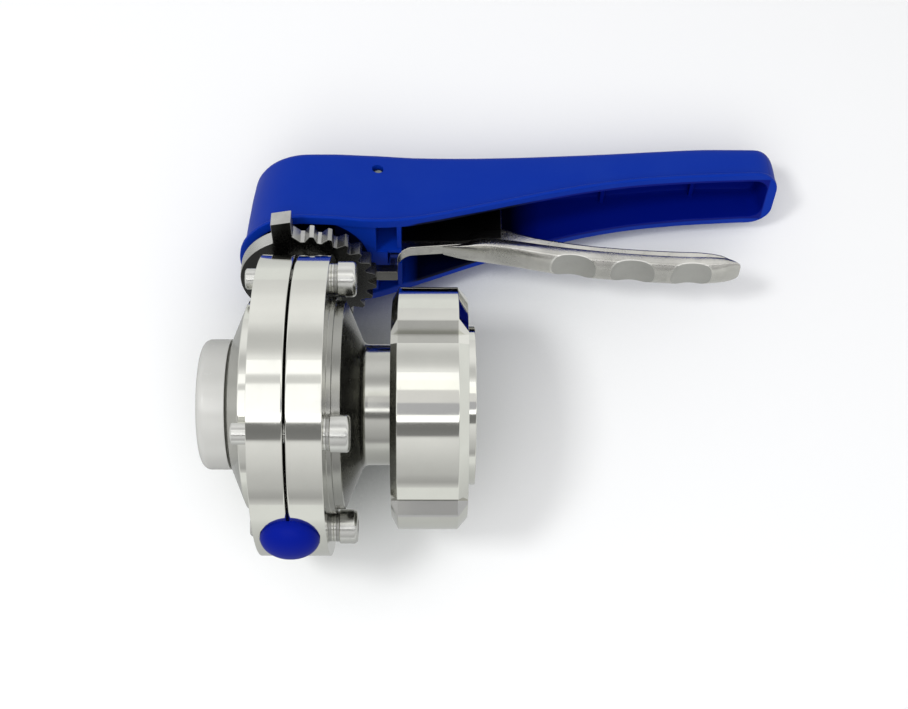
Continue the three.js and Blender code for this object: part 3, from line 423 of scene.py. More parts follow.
# %% [markdown]
# ## Table, light tent and lamps
#
# The valve lies on a white table, touching it with the rims of its flanges and the far side of its
# handle, so the table stands almost upright in this frame. Its contact shade comes partly from an
# Ambient Occlusion node. A mirror-like ray sees it as a pale grey glow, dimmed near the valve as
# painted shade, and from behind it is clear, so that the valve can be walked round. Round everything
# stands a light tent: white, with the soft dark bands that a polished cylinder needs to look like
# steel. They are painted by the angle about the flow axis, and were set for this camera; two of them
# are kept to the directions that the nut's faces mirror. The camera, and light that has come through
# the cap, see the tent as plain white.

# %% Table
TABLE_TILT = math.radians(19)
table_normal = Vector((0, -math.cos(TABLE_TILT), -math.sin(TABLE_TILT)))
bpy.ops.object.select_all(action="DESELECT")
bpy.ops.mesh.primitive_plane_add(size=2.4, location=-table_normal * 43.8 * MM)
table = bpy.context.object
table.name = "table"
table.rotation_mode = "QUATERNION"
table.rotation_quaternion = table_normal.to_track_quat("Z", "Y")
table.visible_shadow = False
table.visible_diffuse = False

table_finish = Finish(bpy.data.materials.new("table"))
table_finish.tree.nodes.clear()
backfacing = table_finish.node("ShaderNodeNewGeometry", {}, (), "Backfacing")
open_sky = table_finish.node("ShaderNodeAmbientOcclusion", {"samples": 16}, {"Distance": 0.09}, "AO")
TABLE_OPEN, TABLE_SHADED, TABLE_DEEP = (0.95, 0.955, 0.955, 1), (0.68, 0.70, 0.68, 1), (0.25, 0.26, 0.27, 1)
cloth_colour = table_finish.blend(open_sky.between(0.15, 0.80), TABLE_SHADED, TABLE_OPEN)
cloth_colour = table_finish.blend(open_sky.between(0.08, 0.32), TABLE_DEEP, cloth_colour)
cloth = table_finish.node("ShaderNodeBsdfDiffuse", {}, {"Color": cloth_colour})
across, along = table_finish.axes(table_finish.place())[:2]
away = (across * across + along * along) ** 0.5
# Painted shade: the glow that mirrors see is dimmer near the valve.
glow_with_painted_shade = away.between(0.05, 0.24, 0.50, 0.84)
pale = table_finish.node("ShaderNodeEmission", {}, {"Color": (0.985, 1.0, 0.985, 1), "Strength": glow_with_painted_shade})
mirrored = table_finish.node("ShaderNodeLightPath", {}, (), "Is Glossy Ray")
lit = table_finish.node("ShaderNodeMixShader", {}, [mirrored, cloth, pale])
clear = table_finish.node("ShaderNodeBsdfTransparent", {}, {"Color": (1, 1, 1, 1)})
shown = table_finish.node("ShaderNodeMixShader", {}, [backfacing, lit, clear])
table_out = table_finish.tree.nodes.new("ShaderNodeOutputMaterial")
table_finish.feed(table_out.inputs["Surface"], shown)
table.data.materials.append(table_finish.owner)
print("table tilt:", round(math.degrees(TABLE_TILT)), "degrees")

# %% Light tent
TENT_BANDS = [
    (-180, 0.80), (-124, 0.72), (-112, 0.66), (-106, 0.42), (-102, 0.46), (-97, 0.55), (-86, 0.62),
    (-76, 0.72), (-68, 0.80), (-61.5, 0.84), (-60, 0.75), (-58.5, 0.23), (-52, 0.20), (-46.5, 0.22),
    (-45, 2.2), (-41.5, 2.2), (-40.5, 1.4), (-18.5, 1.3), (-17, 0.80), (-14, 0.76), (-11.5, 0.84),
    (-10, 1.34), (-2, 1.32), (2, 0.98), (6, 0.76), (10, 0.66), (15, 0.62), (20, 0.64), (25, 0.76),
    (31, 0.90), (42, 0.96), (54, 0.93), (60, 0.83), (75, 0.76), (90, 0.70), (104, 0.62), (122, 0.62),
    (180, 0.80),
]
world = Finish(bpy.data.worlds.new("light_tent"))
bpy.context.scene.world = world.owner
direction = world.node("ShaderNodeTexCoord", {}, (), "Generated")
dx, dy, dz = world.axes(direction)
around = dz.maths("ARCTAN2", dz, 0.0 - dy)
turn_share = around * (1 / (2 * math.pi)) + 0.5
halves = []
for low, high in ((-180, 0), (0, 180)):
    stops = [((angle - low) / 180, (value,) * 3) for angle, value in TENT_BANDS if low <= angle <= high]
    if stops[0][0] > 0:
        stops.insert(0, (0.0, stops[0][1]))
    if stops[-1][0] < 1:
        stops.append((1.0, stops[-1][1]))
    share = turn_share.between(low / 360 + 0.5, high / 360 + 0.5)
    halves.append(world.node("ShaderNodeValToRGB", {"stops": stops}, [share]))
upper_half = turn_share.maths("GREATER_THAN", turn_share, 0.5)
tent = world.blend(upper_half, *halves)
light_path = world.tree.nodes.new("ShaderNodeLightPath")
seen = Wire(world, light_path.outputs["Is Camera Ray"])
seen = seen.maths("MAXIMUM", seen, Wire(world, light_path.outputs["Is Transmission Ray"]))
inside = around * (180 / math.pi)
on_nut = dx.between(-0.066, -0.050)
beige = inside.between(-40.0, -39.0) * inside.between(-17.0, -16.0, 1.0, 0.0)
lavender = inside.between(-29.0, -28.0, 1.0, 0.0)
nut_tone = world.blend(lavender, (0.80, 0.79, 0.79, 1), (0.50, 0.50, 0.53, 1))
tent = world.blend(beige * on_nut, tent, nut_tone)
bright = inside.between(-17.0, -16.0) * inside.between(-8.0, -7.0, 1.0, 0.0)
tent = world.blend(bright * on_nut, tent, (1.3, 1.3, 1.25, 1))
scattered = Wire(world, light_path.outputs["Is Diffuse Ray"])
tent = world.blend(scattered, tent, (0.52, 0.52, 0.53, 1))
shade = world.blend(seen, tent, (1, 1, 1, 1))
background = world.tree.nodes["Background"]
world.feed(background.inputs["Color"], shade)
print("tent bands:", len(TENT_BANDS))

# %% Lamps
for name, place, size, energy in (
    ("window", (-0.40, -0.84, -0.37), 0.18, 3.2),
    ("far_window", (-0.03, -0.61, -0.79), 0.85, 4.6),
):
    lamp_data = bpy.data.lights.new(name, "AREA")
    lamp_data.shape = "SQUARE"
    lamp_data.size = size
    lamp_data.energy = energy
    lamp = bpy.data.objects.new(name, lamp_data)
    lamp.location = place
    lamp.rotation_mode = "QUATERNION"
    lamp.rotation_quaternion = (lamp.location - Vector((0.03, 0, 0))).to_track_quat("Z", "Y")
    lamp.visible_glossy = False
    bpy.context.scene.collection.objects.link(lamp)
    print("lamp:", name, energy, "W")

# %% [markdown]
# ## How the new pieces are made
#
# Most of the metal here is turned, so the natural way is the lathe's own: draw half a section, break
# its corners with a small bevel, and spin it about its axis. A drawn line starts as one vertex that
# is extruded from point to point. Sizes are in millimetres and go through one scale.

# %% Drawing and spinning
def fresh_start():
    if bpy.context.mode != "OBJECT":
        bpy.ops.object.mode_set(mode="OBJECT")
    bpy.ops.object.select_all(action="DESELECT")


def pick(piece, wanted):
    """Select the vertices of a piece whose place, in millimetres, passes a test."""
    bpy.ops.object.mode_set(mode="OBJECT")
    for part in (*piece.data.polygons, *piece.data.edges):
        part.select = False
    for vertex in piece.data.vertices:
        vertex.select = bool(wanted(vertex.co / MM))
    bpy.ops.object.mode_set(mode="EDIT")
    bpy.ops.mesh.select_mode(type="VERT")


def draw_line(points, closed=False):
    """A new object in edit mode: one vertex, extruded from point to point."""
    fresh_start()
    bpy.ops.mesh.primitive_plane_add(size=MM, location=(0, 0, 0))
    bpy.ops.object.mode_set(mode="EDIT")
    bpy.ops.mesh.merge(type="CENTER")
    places = [Vector(point) * MM for point in points]
    bpy.ops.transform.translate(value=places[0])
    for here, there in zip(places, places[1:]):
        bpy.ops.mesh.extrude_region_move(TRANSFORM_OT_translate={"value": there - here})
    line = bpy.context.object
    if closed:
        ends = [Vector(points[0]), Vector(points[-1])]
        pick(line, lambda place: min((place - end).length for end in ends) < 1e-3)
        bpy.ops.mesh.edge_face_add()
    bpy.ops.mesh.select_all(action="SELECT")
    return line


def close_up(threshold=0.001):
    """Merge what meets, and turn every face outwards."""
    bpy.ops.mesh.select_all(action="SELECT")
    bpy.ops.mesh.remove_doubles(threshold=threshold * MM)
    bpy.ops.mesh.normals_make_consistent(inside=False)
    bpy.ops.object.mode_set(mode="OBJECT")


def turn(outline, axis="X", steps=128, corner=0.15, closed=True):
    """Spin an outline of [along, radius] points about X or Z, with its corners broken."""
    if axis == "X":
        points, about = [(along, radius, 0) for along, radius in outline], (1, 0, 0)
    else:
        points, about = [(radius, 0, along) for along, radius in outline], (0, 0, 1)
    piece = draw_line(points, closed)
    if corner:
        pick(piece, lambda place: (place.yz if axis == "X" else place.xy).length > 0.01)
        bpy.ops.mesh.bevel(affect="VERTICES", offset=corner * MM, segments=3)
        bpy.ops.mesh.select_all(action="SELECT")
    bpy.ops.mesh.spin(steps=steps, angle=2 * math.pi, center=(0, 0, 0), axis=about)
    close_up()
    return piece


def apply_modifier(piece, kind, **settings):
    fresh_start()
    bpy.context.view_layer.objects.active = piece
    piece.select_set(True)
    modifier = piece.modifiers.new(kind.lower(), kind)
    for key, value in settings.items():
        setattr(modifier, key, value)
    bpy.ops.object.modifier_apply(modifier=modifier.name)


def join_or_cut(piece, other, operation="DIFFERENCE"):
    apply_modifier(piece, "BOOLEAN", object=other, operation=operation, solver="EXACT")
    bpy.data.objects.remove(other)


def rod(axis, radius, start, end, at=(0, 0, 0), sides=48):
    """A plain bar to cut or join with, along X, Y or Z."""
    fresh_start()
    turned = {"X": (0, math.pi / 2, 0), "Y": (math.pi / 2, 0, 0), "Z": (0, 0, 0)}[axis]
    middle = Vector(at)
    middle["XYZ".index(axis)] += (start + end) / 2
    bpy.ops.mesh.primitive_cylinder_add(
        vertices=sides, radius=radius * MM, depth=(end - start) * MM, location=middle * MM, rotation=turned
    )
    bpy.ops.object.transform_apply(location=True, rotation=True, scale=True)
    return bpy.context.object


def block(low, high):
    fresh_start()
    low, high = Vector(low), Vector(high)
    bpy.ops.mesh.primitive_cube_add(size=1, location=(low + high) / 2 * MM, scale=(high - low) * MM)
    bpy.ops.object.transform_apply(location=True, rotation=True, scale=True)
    return bpy.context.object


def copy_of(piece, moved=(0, 0, 0)):
    fresh_start()
    twin = piece.copy()
    twin.data = piece.data.copy()
    bpy.context.scene.collection.objects.link(twin)
    twin.data.transform(Matrix.Translation(Vector(moved) * MM))
    return twin


def dress(piece, name, node, smooth=32):
    """Name a piece, give it the finish of the node that it stands for, and let it ride."""
    fresh_start()
    bpy.context.view_layer.objects.active = piece
    piece.select_set(True)
    bpy.ops.object.shade_smooth_by_angle(angle=math.radians(smooth))
    apply_modifier(piece, "WEIGHTED_NORMAL", keep_sharp=True)
    slot = next(row["material_slot"] for row in frame["record"]["subparts"] if row["node"] == node)
    body = next(b for b, names in frame["record"]["behaviour"]["bodies"].items() if node in names)
    piece.data.materials.clear()
    piece.data.materials.append(FINISHES[slot].owner)
    piece.name = piece.data.name = name
    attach(piece, body)
    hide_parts(node)
    print(name, "on", body, len(piece.data.polygons), "faces")
    return piece


# %% [markdown]
# ## Body halves
#
# Each half of the body is a thick ring with a step, a shoulder, a hollow-footed cone and a stub of
# pipe. It is spun in one go. Then the neck that carries the notched plate is joined to it, and the
# bores are cut: the stem's bearings, the four screw holes, and the flat for the plug.

# %% Body halves
FLANGE_RADIUS = 43.5
SCREW_CIRCLE = 36.65
SEAM_HALF, SEAM_CHAMFER = 0.25, 0.35
PLATE_BOTTOM, PLATE_TOP = 45.2, 50.0
STUB_END = 28


def body_half(side, stub_end):
    outline = [
        (SEAM_HALF, 24), (SEAM_HALF, FLANGE_RADIUS - SEAM_CHAMFER), (SEAM_HALF + SEAM_CHAMFER, FLANGE_RADIUS),
        (10, FLANGE_RADIUS), (10, 31.5), (11.4, 31.5), (11.4, 30.2), (13.8, 30.2),
        (18.3, 19.6), (18.55, 19.0), (18.9, 18.4), (19.36, 17.9), (19.9, 17.6), (20.6, 17.5),
        (stub_end, 17.5), (stub_end, 16), (7, 16), (7, 24),
    ]
    half = turn([(side * along, radius) for along, radius in outline], "X", 160, 0.22)
    collar = rod("Z", 11, 38, PLATE_BOTTOM, sides=96)
    join_or_cut(collar, block((-7, -7, 44), (7, 7, PLATE_TOP - 0.3)), "UNION")
    fresh_start()
    bpy.context.view_layer.objects.active = collar
    bpy.ops.object.mode_set(mode="EDIT")
    bpy.ops.mesh.select_all(action="SELECT")
    bpy.ops.mesh.bisect(
        plane_co=(side * SEAM_HALF * MM, 0, 0), plane_no=(side, 0, 0), use_fill=True, clear_inner=True
    )
    bpy.ops.object.mode_set(mode="OBJECT")
    join_or_cut(half, collar, "UNION")
    for cutter in (
        rod("Z", 7.3, 20, 40.5),
        rod("Z", 7.3, -45, -20),
        rod("Z", 5.3, 20, 52),
        rod("Z", 8.5, -46, -42.6),
    ):
        join_or_cut(half, cutter)
    for angle in (45, 135, 225, 315):
        y, z = (SCREW_CIRCLE * f(math.radians(angle)) for f in (math.cos, math.sin))
        join_or_cut(half, rod("X", 3.3, min(0, side * 12), max(0, side * 12), (0, y, z), 32))
    return half


dress(body_half(-1, 25.8), "turned_weld_half", "body_weld_half")
dress(body_half(1, STUB_END), "turned_union_half", "body_union_half")

# %% [markdown]
# ## Union
#
# The liner is a pipe with a collar that the nut bears on. The nut is turned, its ends are chamfered,
# and four slots for a hook spanner are milled along it. It is loose, so it hangs a little low on the
# liner and stands slightly turned. The round thread in its mouth is one ridge that the Screw modifier
# winds into a coil.

# %% Union liner
liner = turn(
    [
        (STUB_END, 17.5), (33, 17.5), (33, 25), (42, 25), (46, 23.15), (51, 23.15), (51, 16), (STUB_END, 16),
    ],
    "X", 128, 0.3,
)
dress(liner, "turned_liner", "union_liner")

# %% Union nut
NUT_START, NUT_END, NUT_RADIUS = 27.3, 48.8, 35
NUT_DROP, SLOT_TURN = 1.0, 4.3
nut = turn(
    [
        (NUT_START, 21), (NUT_START, NUT_RADIUS - 3.3), (NUT_START + 1.9, NUT_RADIUS),
        (NUT_END - 2.8, NUT_RADIUS), (NUT_END, NUT_RADIUS - 3.3), (NUT_END, 29.8), (NUT_END - 0.6, 29.2),
        (32.7, 29.2), (32.7, 21),
    ],
    "X", 160, 0.15,
)
slot_cutter = draw_line(
    [
        (NUT_START - 1, y, z)
        for y, z in ((-1.8, 31), (1.8, 31), (4.6, 35), (7.4, 39), (-7.4, 39), (-4.6, 35))
    ],
    closed=True,
)
bpy.ops.mesh.edge_face_add()
bpy.ops.mesh.extrude_region_move(TRANSFORM_OT_translate={"value": (23.5 * MM, 0, 0)})
close_up()
for quarter in range(4):
    cutter = copy_of(slot_cutter)
    cutter.data.transform(Matrix.Rotation(math.radians(90 * quarter - SLOT_TURN), 4, "X"))
    join_or_cut(nut, cutter)
bpy.data.objects.remove(slot_cutter)
nut.data.transform(Matrix.Translation((0, 0, -NUT_DROP * MM)))
dress(nut, "slotted_nut", "union_nut")

# %% Nut thread
PITCH_OF_THREAD, THREAD_TURNS = 3.6, 3.4
ridge = [(-1.1, 29.6), (-0.85, 29.1), (-0.5, 28.75), (0, 28.6), (0.5, 28.75), (0.85, 29.1), (1.1, 29.6)]
coil = draw_line([(35.6 + along, radius, 0) for along, radius in ridge], closed=True)
bpy.ops.mesh.edge_face_add()
bpy.ops.object.mode_set(mode="OBJECT")
apply_modifier(
    coil, "SCREW", axis="X", angle=2 * math.pi * THREAD_TURNS,
    screw_offset=PITCH_OF_THREAD * THREAD_TURNS * MM, steps=220, render_steps=220,
)
coil.data.transform(Matrix.Translation((0, 0, -NUT_DROP * MM)))
dress(coil, "nut_thread", "union_nut")

# %% [markdown]
# ## Cap, plug and screws
#
# Small turned pieces, spun like the rest. The plug is a shallow dome. The socket screws get a
# six-sided pocket, and each one is a copy with its own mesh.

# %% End cap
cap_outline = [(-27.3, 0)]
for step in range(7):
    angle = math.radians(90 - step * 15)
    cap_outline.append((-27.3 + 2.6 * (1 - math.sin(angle)), 18.9 - 2.6 + 2.6 * math.cos(angle)))
cap_outline += [(-19.1, 18.9), (-19.1, 17.75), (-26.1, 17.7), (-26.1, 0)]
cap = turn(cap_outline, "X", 128, 0)
dress(cap, "moulded_cap", "end_cap")

# %% Bottom plug
plug_outline = [(-38.1, 0), (-38.1, 6.4), (-38.9, 7.0), (-42.6, 7.0), (-42.6, 8.2), (-43.5, 8.2)]
plug_outline += [
    (-43.5 - 5 * math.sin(math.radians(a)), 8.2 * math.cos(math.radians(a))) for a in range(6, 85, 6)
] + [(-48.5, 0)]
plug = turn(plug_outline, "Z", 96, 0, closed=False)
dress(plug, "moulded_plug", "bottom_plug", 40)

# %% Cap screws and washers
SEAT, SCREW_TOP, HEAD_ROUND = 11.7, 17.0, 1.2
head_outline = [(-14.6, 0), (-14.6, 2.6), (-14.2, 3), (SEAT, 3), (SEAT, 4.9), (SEAT + 0.2, 5.1)]
for angle in range(0, 91, 15):
    s, c = math.sin(math.radians(angle)), math.cos(math.radians(angle))
    head_outline.append((SCREW_TOP - HEAD_ROUND * (1 - s), 5.1 - HEAD_ROUND * (1 - c)))
head = turn(head_outline + [(SCREW_TOP, 0)], "X", 64, 0, closed=False)
pocket = rod("X", 2 / math.cos(math.pi / 6), SCREW_TOP - 2.3, SCREW_TOP + 2, sides=6)
join_or_cut(head, pocket)
flat = turn([(10, 3.3), (10, 4.5), (10.7, 4.5), (10.7, 3.3)], "X", 64, 0.1)
split = turn([(10.7, 3.3), (10.7, 4.5), (SEAT, 4.5), (SEAT, 3.3)], "X", 64, 0.1)
join_or_cut(split, block((10, -0.5, 0), (14, 0.5, 6)))
for number, angle in enumerate((45, 135, 225, 315), 1):
    spot = (0, SCREW_CIRCLE * math.cos(math.radians(angle)), SCREW_CIRCLE * math.sin(math.radians(angle)))
    dress(copy_of(head, spot), f"socket_screw_{number}", f"cap_screw_{number}")
    dress(copy_of(flat, spot), f"plain_washer_{number}", f"flat_washer_{number}")
    dress(copy_of(split, spot), f"spring_washer_{number}", f"split_washer_{number}")
for model in (head, flat, split):
    bpy.data.objects.remove(model)

# %% [markdown]
# ## Skins over drawn rows
#
# The handle and the lever have no axis to spin about. A boatbuilder's way fits them: draw rows that
# lie on the surface, from end to end, and bridge each row to the next. Smooth lines through a few
# stations give the places of the points, so the shape can be tuned by its stations alone.

# %% Stations and skins
def smooth_line(stations):
    """A smooth value along the piece, through [place, value] stations."""

    def slope(i):
        (x0, v0), (x1, v1) = stations[max(i - 1, 0)], stations[min(i + 1, len(stations) - 1)]
        return (v1 - v0) / (x1 - x0)

    def value(x):
        x = min(max(x, stations[0][0]), stations[-1][0])
        i = max(next(k for k, station in enumerate(stations) if station[0] >= x), 1)
        (x0, v0), (x1, v1) = stations[i - 1], stations[i]
        t = (x - x0) / (x1 - x0)
        rise = (t**3 - 2 * t**2 + t) * slope(i - 1) + (t**3 - t**2) * slope(i)
        return v0 + (v1 - v0) * (3 * t**2 - 2 * t**3) + rise * (x1 - x0)

    return value


def draw_row(points, closed):
    """One more line in the mesh that is being edited, kept in a vertex group of its own."""
    bpy.ops.mesh.select_all(action="DESELECT")
    bpy.ops.mesh.primitive_plane_add(size=MM, location=(0, 0, 0))
    bpy.ops.mesh.merge(type="CENTER")
    places = [Vector(point) * MM for point in points]
    bpy.ops.transform.translate(value=places[0])
    bpy.ops.object.vertex_group_assign_new()
    for here, there in zip(places, places[1:]):
        bpy.ops.mesh.extrude_region_move(TRANSFORM_OT_translate={"value": there - here})
    if closed:
        ends = [places[0], places[-1]]
        piece = bpy.context.object
        group = piece.vertex_groups[-1].name
        bpy.ops.mesh.select_linked()
        bpy.ops.object.mode_set(mode="OBJECT")
        chosen = [v for v in piece.data.vertices if v.select]
        for part in (*piece.data.polygons, *piece.data.edges):
            part.select = False
        for vertex in chosen:
            vertex.select = min((vertex.co - end).length for end in ends) < 1e-6
        bpy.ops.object.mode_set(mode="EDIT")
        bpy.ops.mesh.edge_face_add()
    bpy.ops.mesh.select_linked()
    bpy.ops.object.vertex_group_assign()


def skin(rows, closed=False, capped=False):
    """A surface bridged from row to row."""
    fresh_start()
    bpy.ops.mesh.primitive_plane_add(size=MM)
    piece = bpy.context.object
    bpy.ops.object.mode_set(mode="EDIT")
    bpy.ops.mesh.select_mode(type="VERT")
    bpy.ops.mesh.delete(type="VERT")
    for row in rows:
        draw_row(row, closed)
    for i in range(len(rows) - 1):
        bpy.ops.mesh.select_all(action="DESELECT")
        for k in (i, i + 1):
            piece.vertex_groups.active_index = k
            bpy.ops.object.vertex_group_select()
        bpy.ops.mesh.bridge_edge_loops()
    if capped:
        for k in (0, len(rows) - 1):
            bpy.ops.mesh.select_all(action="DESELECT")
            piece.vertex_groups.active_index = k
            bpy.ops.object.vertex_group_select()
            bpy.ops.mesh.edge_face_add()
    close_up()
    piece.vertex_groups.clear()
    return piece


def spread(start, end, steps):
    return [start + (end - start) * i / steps for i in range(steps + 1)]

# %% [markdown]
# ## Handle
#
# The handle is one moulding: a round hub over the stem that runs out into a hollow arm, open below,
# with a lip along its lower edge. Half of it is skinned, from the middle of the roof over the crown
# and down the wall, round the lip and up the inside, and a mirror makes the rest.

# %% Handle outline
HUB_BASE = 53.0
HUB_RADIUS = 21.2
HANDLE_END = 149.1
END_ROUND, TOP_ROUND = 7.5, 5.5
LIP_DEPTH, LIP_HEIGHT = 0.9, 1.2
WALL, ROOF, CROWN = 2.4, 3.0, 3.0
LEAN = 0.07
half_width = smooth_line(
    [(0, 21.2), (9, 20.7), (20, 19.2), (34, 16.5), (55, 14.4), (80, 13), (110, 12.1), (140, 11.7)]
)
arm_low = smooth_line(
    [(9, 0), (20, 0.2), (34, 3.6), (55, 10.6), (80, 18.2), (100, 22.6), (120, 25), (140, 26.3)]
)
arm_top = smooth_line(
    [(0, 29.9), (16, 30.95), (34, 32.8), (53, 34.25), (91, 37.4), (123, 40.2), (138, 40.5)]
)


def plan_points():
    """Stations round the near side of the handle, as (place, way out) pairs seen from above."""
    stations = []
    for angle in spread(180, 270, 22):
        turn_to = math.radians(angle)
        way = Vector((math.cos(turn_to), math.sin(turn_to)))
        stations.append((way * HUB_RADIUS, way))
    for x in spread(0, HANDLE_END - END_ROUND, 70)[1:]:
        stations.append((Vector((x, -half_width(x))), Vector((0, -1))))
    corner = Vector((HANDLE_END - END_ROUND, -half_width(HANDLE_END) + END_ROUND))
    for angle in spread(270, 360, 10)[1:]:
        way = Vector((math.cos(math.radians(angle)), math.sin(math.radians(angle))))
        stations.append((corner + way * END_ROUND, way))
    for y in spread(corner.y, 0, 3)[1:]:
        stations.append((Vector((HANDLE_END, y)), Vector((1, 0))))
    return stations


PLAN = plan_points()


def handle_row(inset, height, middle=False, inner=False):
    """A row round the handle, set in from its outline, at a height that depends on the place.

    At the far end the walls hardly lean, and outside the roof curves down to the end."""
    row = []
    for place, way in PLAN:
        low, top = arm_low(place.x), arm_top(place.x)
        depth = inset(low, top)
        along = way.x * depth * (1 if inner or place.x < 0 else 0.12 if place.x > 100 else 1)
        point = Vector((place.x - along, place.y - way.y * depth))
        if not inner:
            into = min(max((point.x - (HANDLE_END - TOP_ROUND)) / TOP_ROUND, 0), 1)
            top -= TOP_ROUND * (1 - math.sqrt(1 - into**2))
        row.append((point.x, 0 if middle else min(point.y, 0), HUB_BASE + height(low, top)))
    return row


def wall_lean(low, top):
    return LIP_DEPTH + LEAN * (top - low)


outside = [
    handle_row(lambda low, top: wall_lean(low, top) + CROWN, lambda low, top: top, middle=True),
    handle_row(lambda low, top: wall_lean(low, top) + CROWN * 1.6, lambda low, top: top),
]
for angle in (0, 18, 36, 54, 72, 90):
    s, c = math.sin(math.radians(angle)), math.cos(math.radians(angle))
    outside.append(
        handle_row(
            lambda low, top, s=s: wall_lean(low, top) + CROWN * (1 - s),
            lambda low, top, c=c: top - CROWN * (1 - c),
        )
    )
for share in (0.7, 0.4, 0.15):
    outside.append(
        handle_row(
            lambda low, top, k=share: LIP_DEPTH + LEAN * (top - low) * k,
            lambda low, top, k=share: low + (top - low) * k if k > 0.2 else low + LIP_HEIGHT + 1.2,
        )
    )
lip = [(LIP_DEPTH, 1.75), (0.55, 1.5), (0.15, 1.25), (0, 1.0), (0, 0.35), (0.1, 0.1), (0.35, 0.0)]
outside += [handle_row(lambda low, top, d=d: d, lambda low, top, h=h: low + h) for d, h in lip]
inside = [
    handle_row(lambda low, top: LIP_DEPTH + WALL - 0.3, lambda low, top: low, inner=True),
    handle_row(lambda low, top: LIP_DEPTH + WALL, lambda low, top: low + 0.3, inner=True),
    handle_row(lambda low, top: wall_lean(low, top) + WALL, lambda low, top: top - ROOF - 1.5, inner=True),
    handle_row(
        lambda low, top: wall_lean(low, top) + WALL + 0.45, lambda low, top: top - ROOF - 0.45, inner=True
    ),
    handle_row(lambda low, top: wall_lean(low, top) + WALL + 1.5, lambda low, top: top - ROOF, inner=True),
    handle_row(lambda low, top: wall_lean(low, top) + WALL + 1.5, lambda low, top: top - ROOF, True, True),
]
handle = skin(outside + inside)
apply_modifier(handle, "MIRROR", use_axis=(False, True, False), merge_threshold=1e-5)
print("handle shell:", len(handle.data.vertices), "points in", len(outside + inside), "rows")

# %% Handle ribs and bores
SLOT_HALF = 2.6
ribs = []
for side in (-1, 1):

    def across(start, end):
        return (min(side * start, side * end), max(side * start, side * end))

    for x0, x1, reach, z0, z1 in (
        (20, 29, None, 54.6, 82.5),
        (20, 21.3, 16.8, 54, 70),
        (20, 21.3, 15.4, 69, 82.5),
        (27.7, 29, 15.2, 55.1, 70),
        (27.7, 29, 13.8, 69, 83),
        (9, 21, 16.8, 54, 56),
    ):
        y0, y1 = across(SLOT_HALF, reach or SLOT_HALF + 1.3)
        ribs.append(block((x0, y0, z0), (x1, y1, z1)))
ribs.append(block((9, -3.6, 54), (24.7, 3.6, 56)))
grid = ribs.pop()
for rib in ribs:
    join_or_cut(grid, rib, "UNION")
join_or_cut(handle, grid, "UNION")
for x in (93.5, 123):
    roof = HUB_BASE + arm_top(x) - ROOF
    reach = half_width(x) - 3.4
    rib = block((x, -reach, roof - 3), (x + 1.3, reach, roof + 1))
    apply_modifier(rib, "BEVEL", width=0.2 * MM, segments=2)
    join_or_cut(handle, rib, "UNION")
boss = rod("Z", 9.5, 50.3, 81.5, sides=64)
apply_modifier(boss, "BEVEL", width=0.3 * MM, segments=2)
join_or_cut(handle, boss, "UNION")
for cutter in (
    block((-3.8, -3.8, 49), (3.8, 3.8, 74.3)),
    rod("Z", 2.8, 73, 82),
    rod("Z", 6.5, 78.3, 85, sides=64),
    rod("Y", 1.8, -25, 25, (21.5, 0, 77), 48),
):
    join_or_cut(handle, cutter)
dress(handle, "moulded_handle", "handle", 40)

# %% [markdown]
# ## Index plate
#
# The plate is blanked from thick sheet: one V notch for each stop, a lug at each end of the travel,
# and a plain round rim behind. It is drawn as an outline, filled, and pulled up by its thickness.
# The edges of a blanked plate are slightly rolled, which the bevel gives.

# %% Index plate
def plate_point(radius, angle, sideways=0.0):
    along = math.sqrt(radius**2 - sideways**2)
    c, s = math.cos(math.radians(angle)), math.sin(math.radians(angle))
    return (along * c - sideways * s, along * s + sideways * c, PLATE_BOTTOM)


plate_outline = []
for stop in range(13):
    angle = -90 + 15 * stop
    plate_outline += [plate_point(18.9, angle, -0.6), plate_point(18.9, angle, 0.6)]
    if stop < 12:
        plate_outline += [plate_point(21.5, angle + 7.5, -0.65), plate_point(21.5, angle + 7.5, 0.65)]
plate_outline += [plate_point(21.5, 90, 2.95), plate_point(28.2, 90, 2.95), plate_point(28.2, 90, 8.95)]
foot = math.degrees(math.asin(8.95 / 20.4))
plate_outline += [plate_point(20.4, angle) for angle in spread(90 + foot, 270 - foot, 40)]
plate_outline += [plate_point(28.2, -90, -8.95), plate_point(28.2, -90, -2.95)]
plate_outline += [plate_point(21.5, -90, -2.95)]
plate = draw_line(plate_outline, closed=True)
bpy.ops.mesh.edge_face_add()
bpy.ops.mesh.extrude_region_move(TRANSFORM_OT_translate={"value": (0, 0, 4.8 * MM)})
close_up()
join_or_cut(plate, block((-7.3, -7.3, 44), (7.3, 7.3, 51)))
apply_modifier(plate, "BEVEL", width=0.28 * MM, segments=3, angle_limit=math.radians(30))
dress(plate, "notched_plate", "index_plate", 35)

# %% [markdown]
# ## Lever
#
# The lever is one casting. A thin web runs from the eye on the pivot down to the tooth, and a
# rounded grip with three finger hollows carries a narrower wall that swells to a hump over its root.
# Grip and wall are skinned, the web is drawn from the side and given its thickness, and a bevel
# rounds the edges as the wax and the tumbling do.

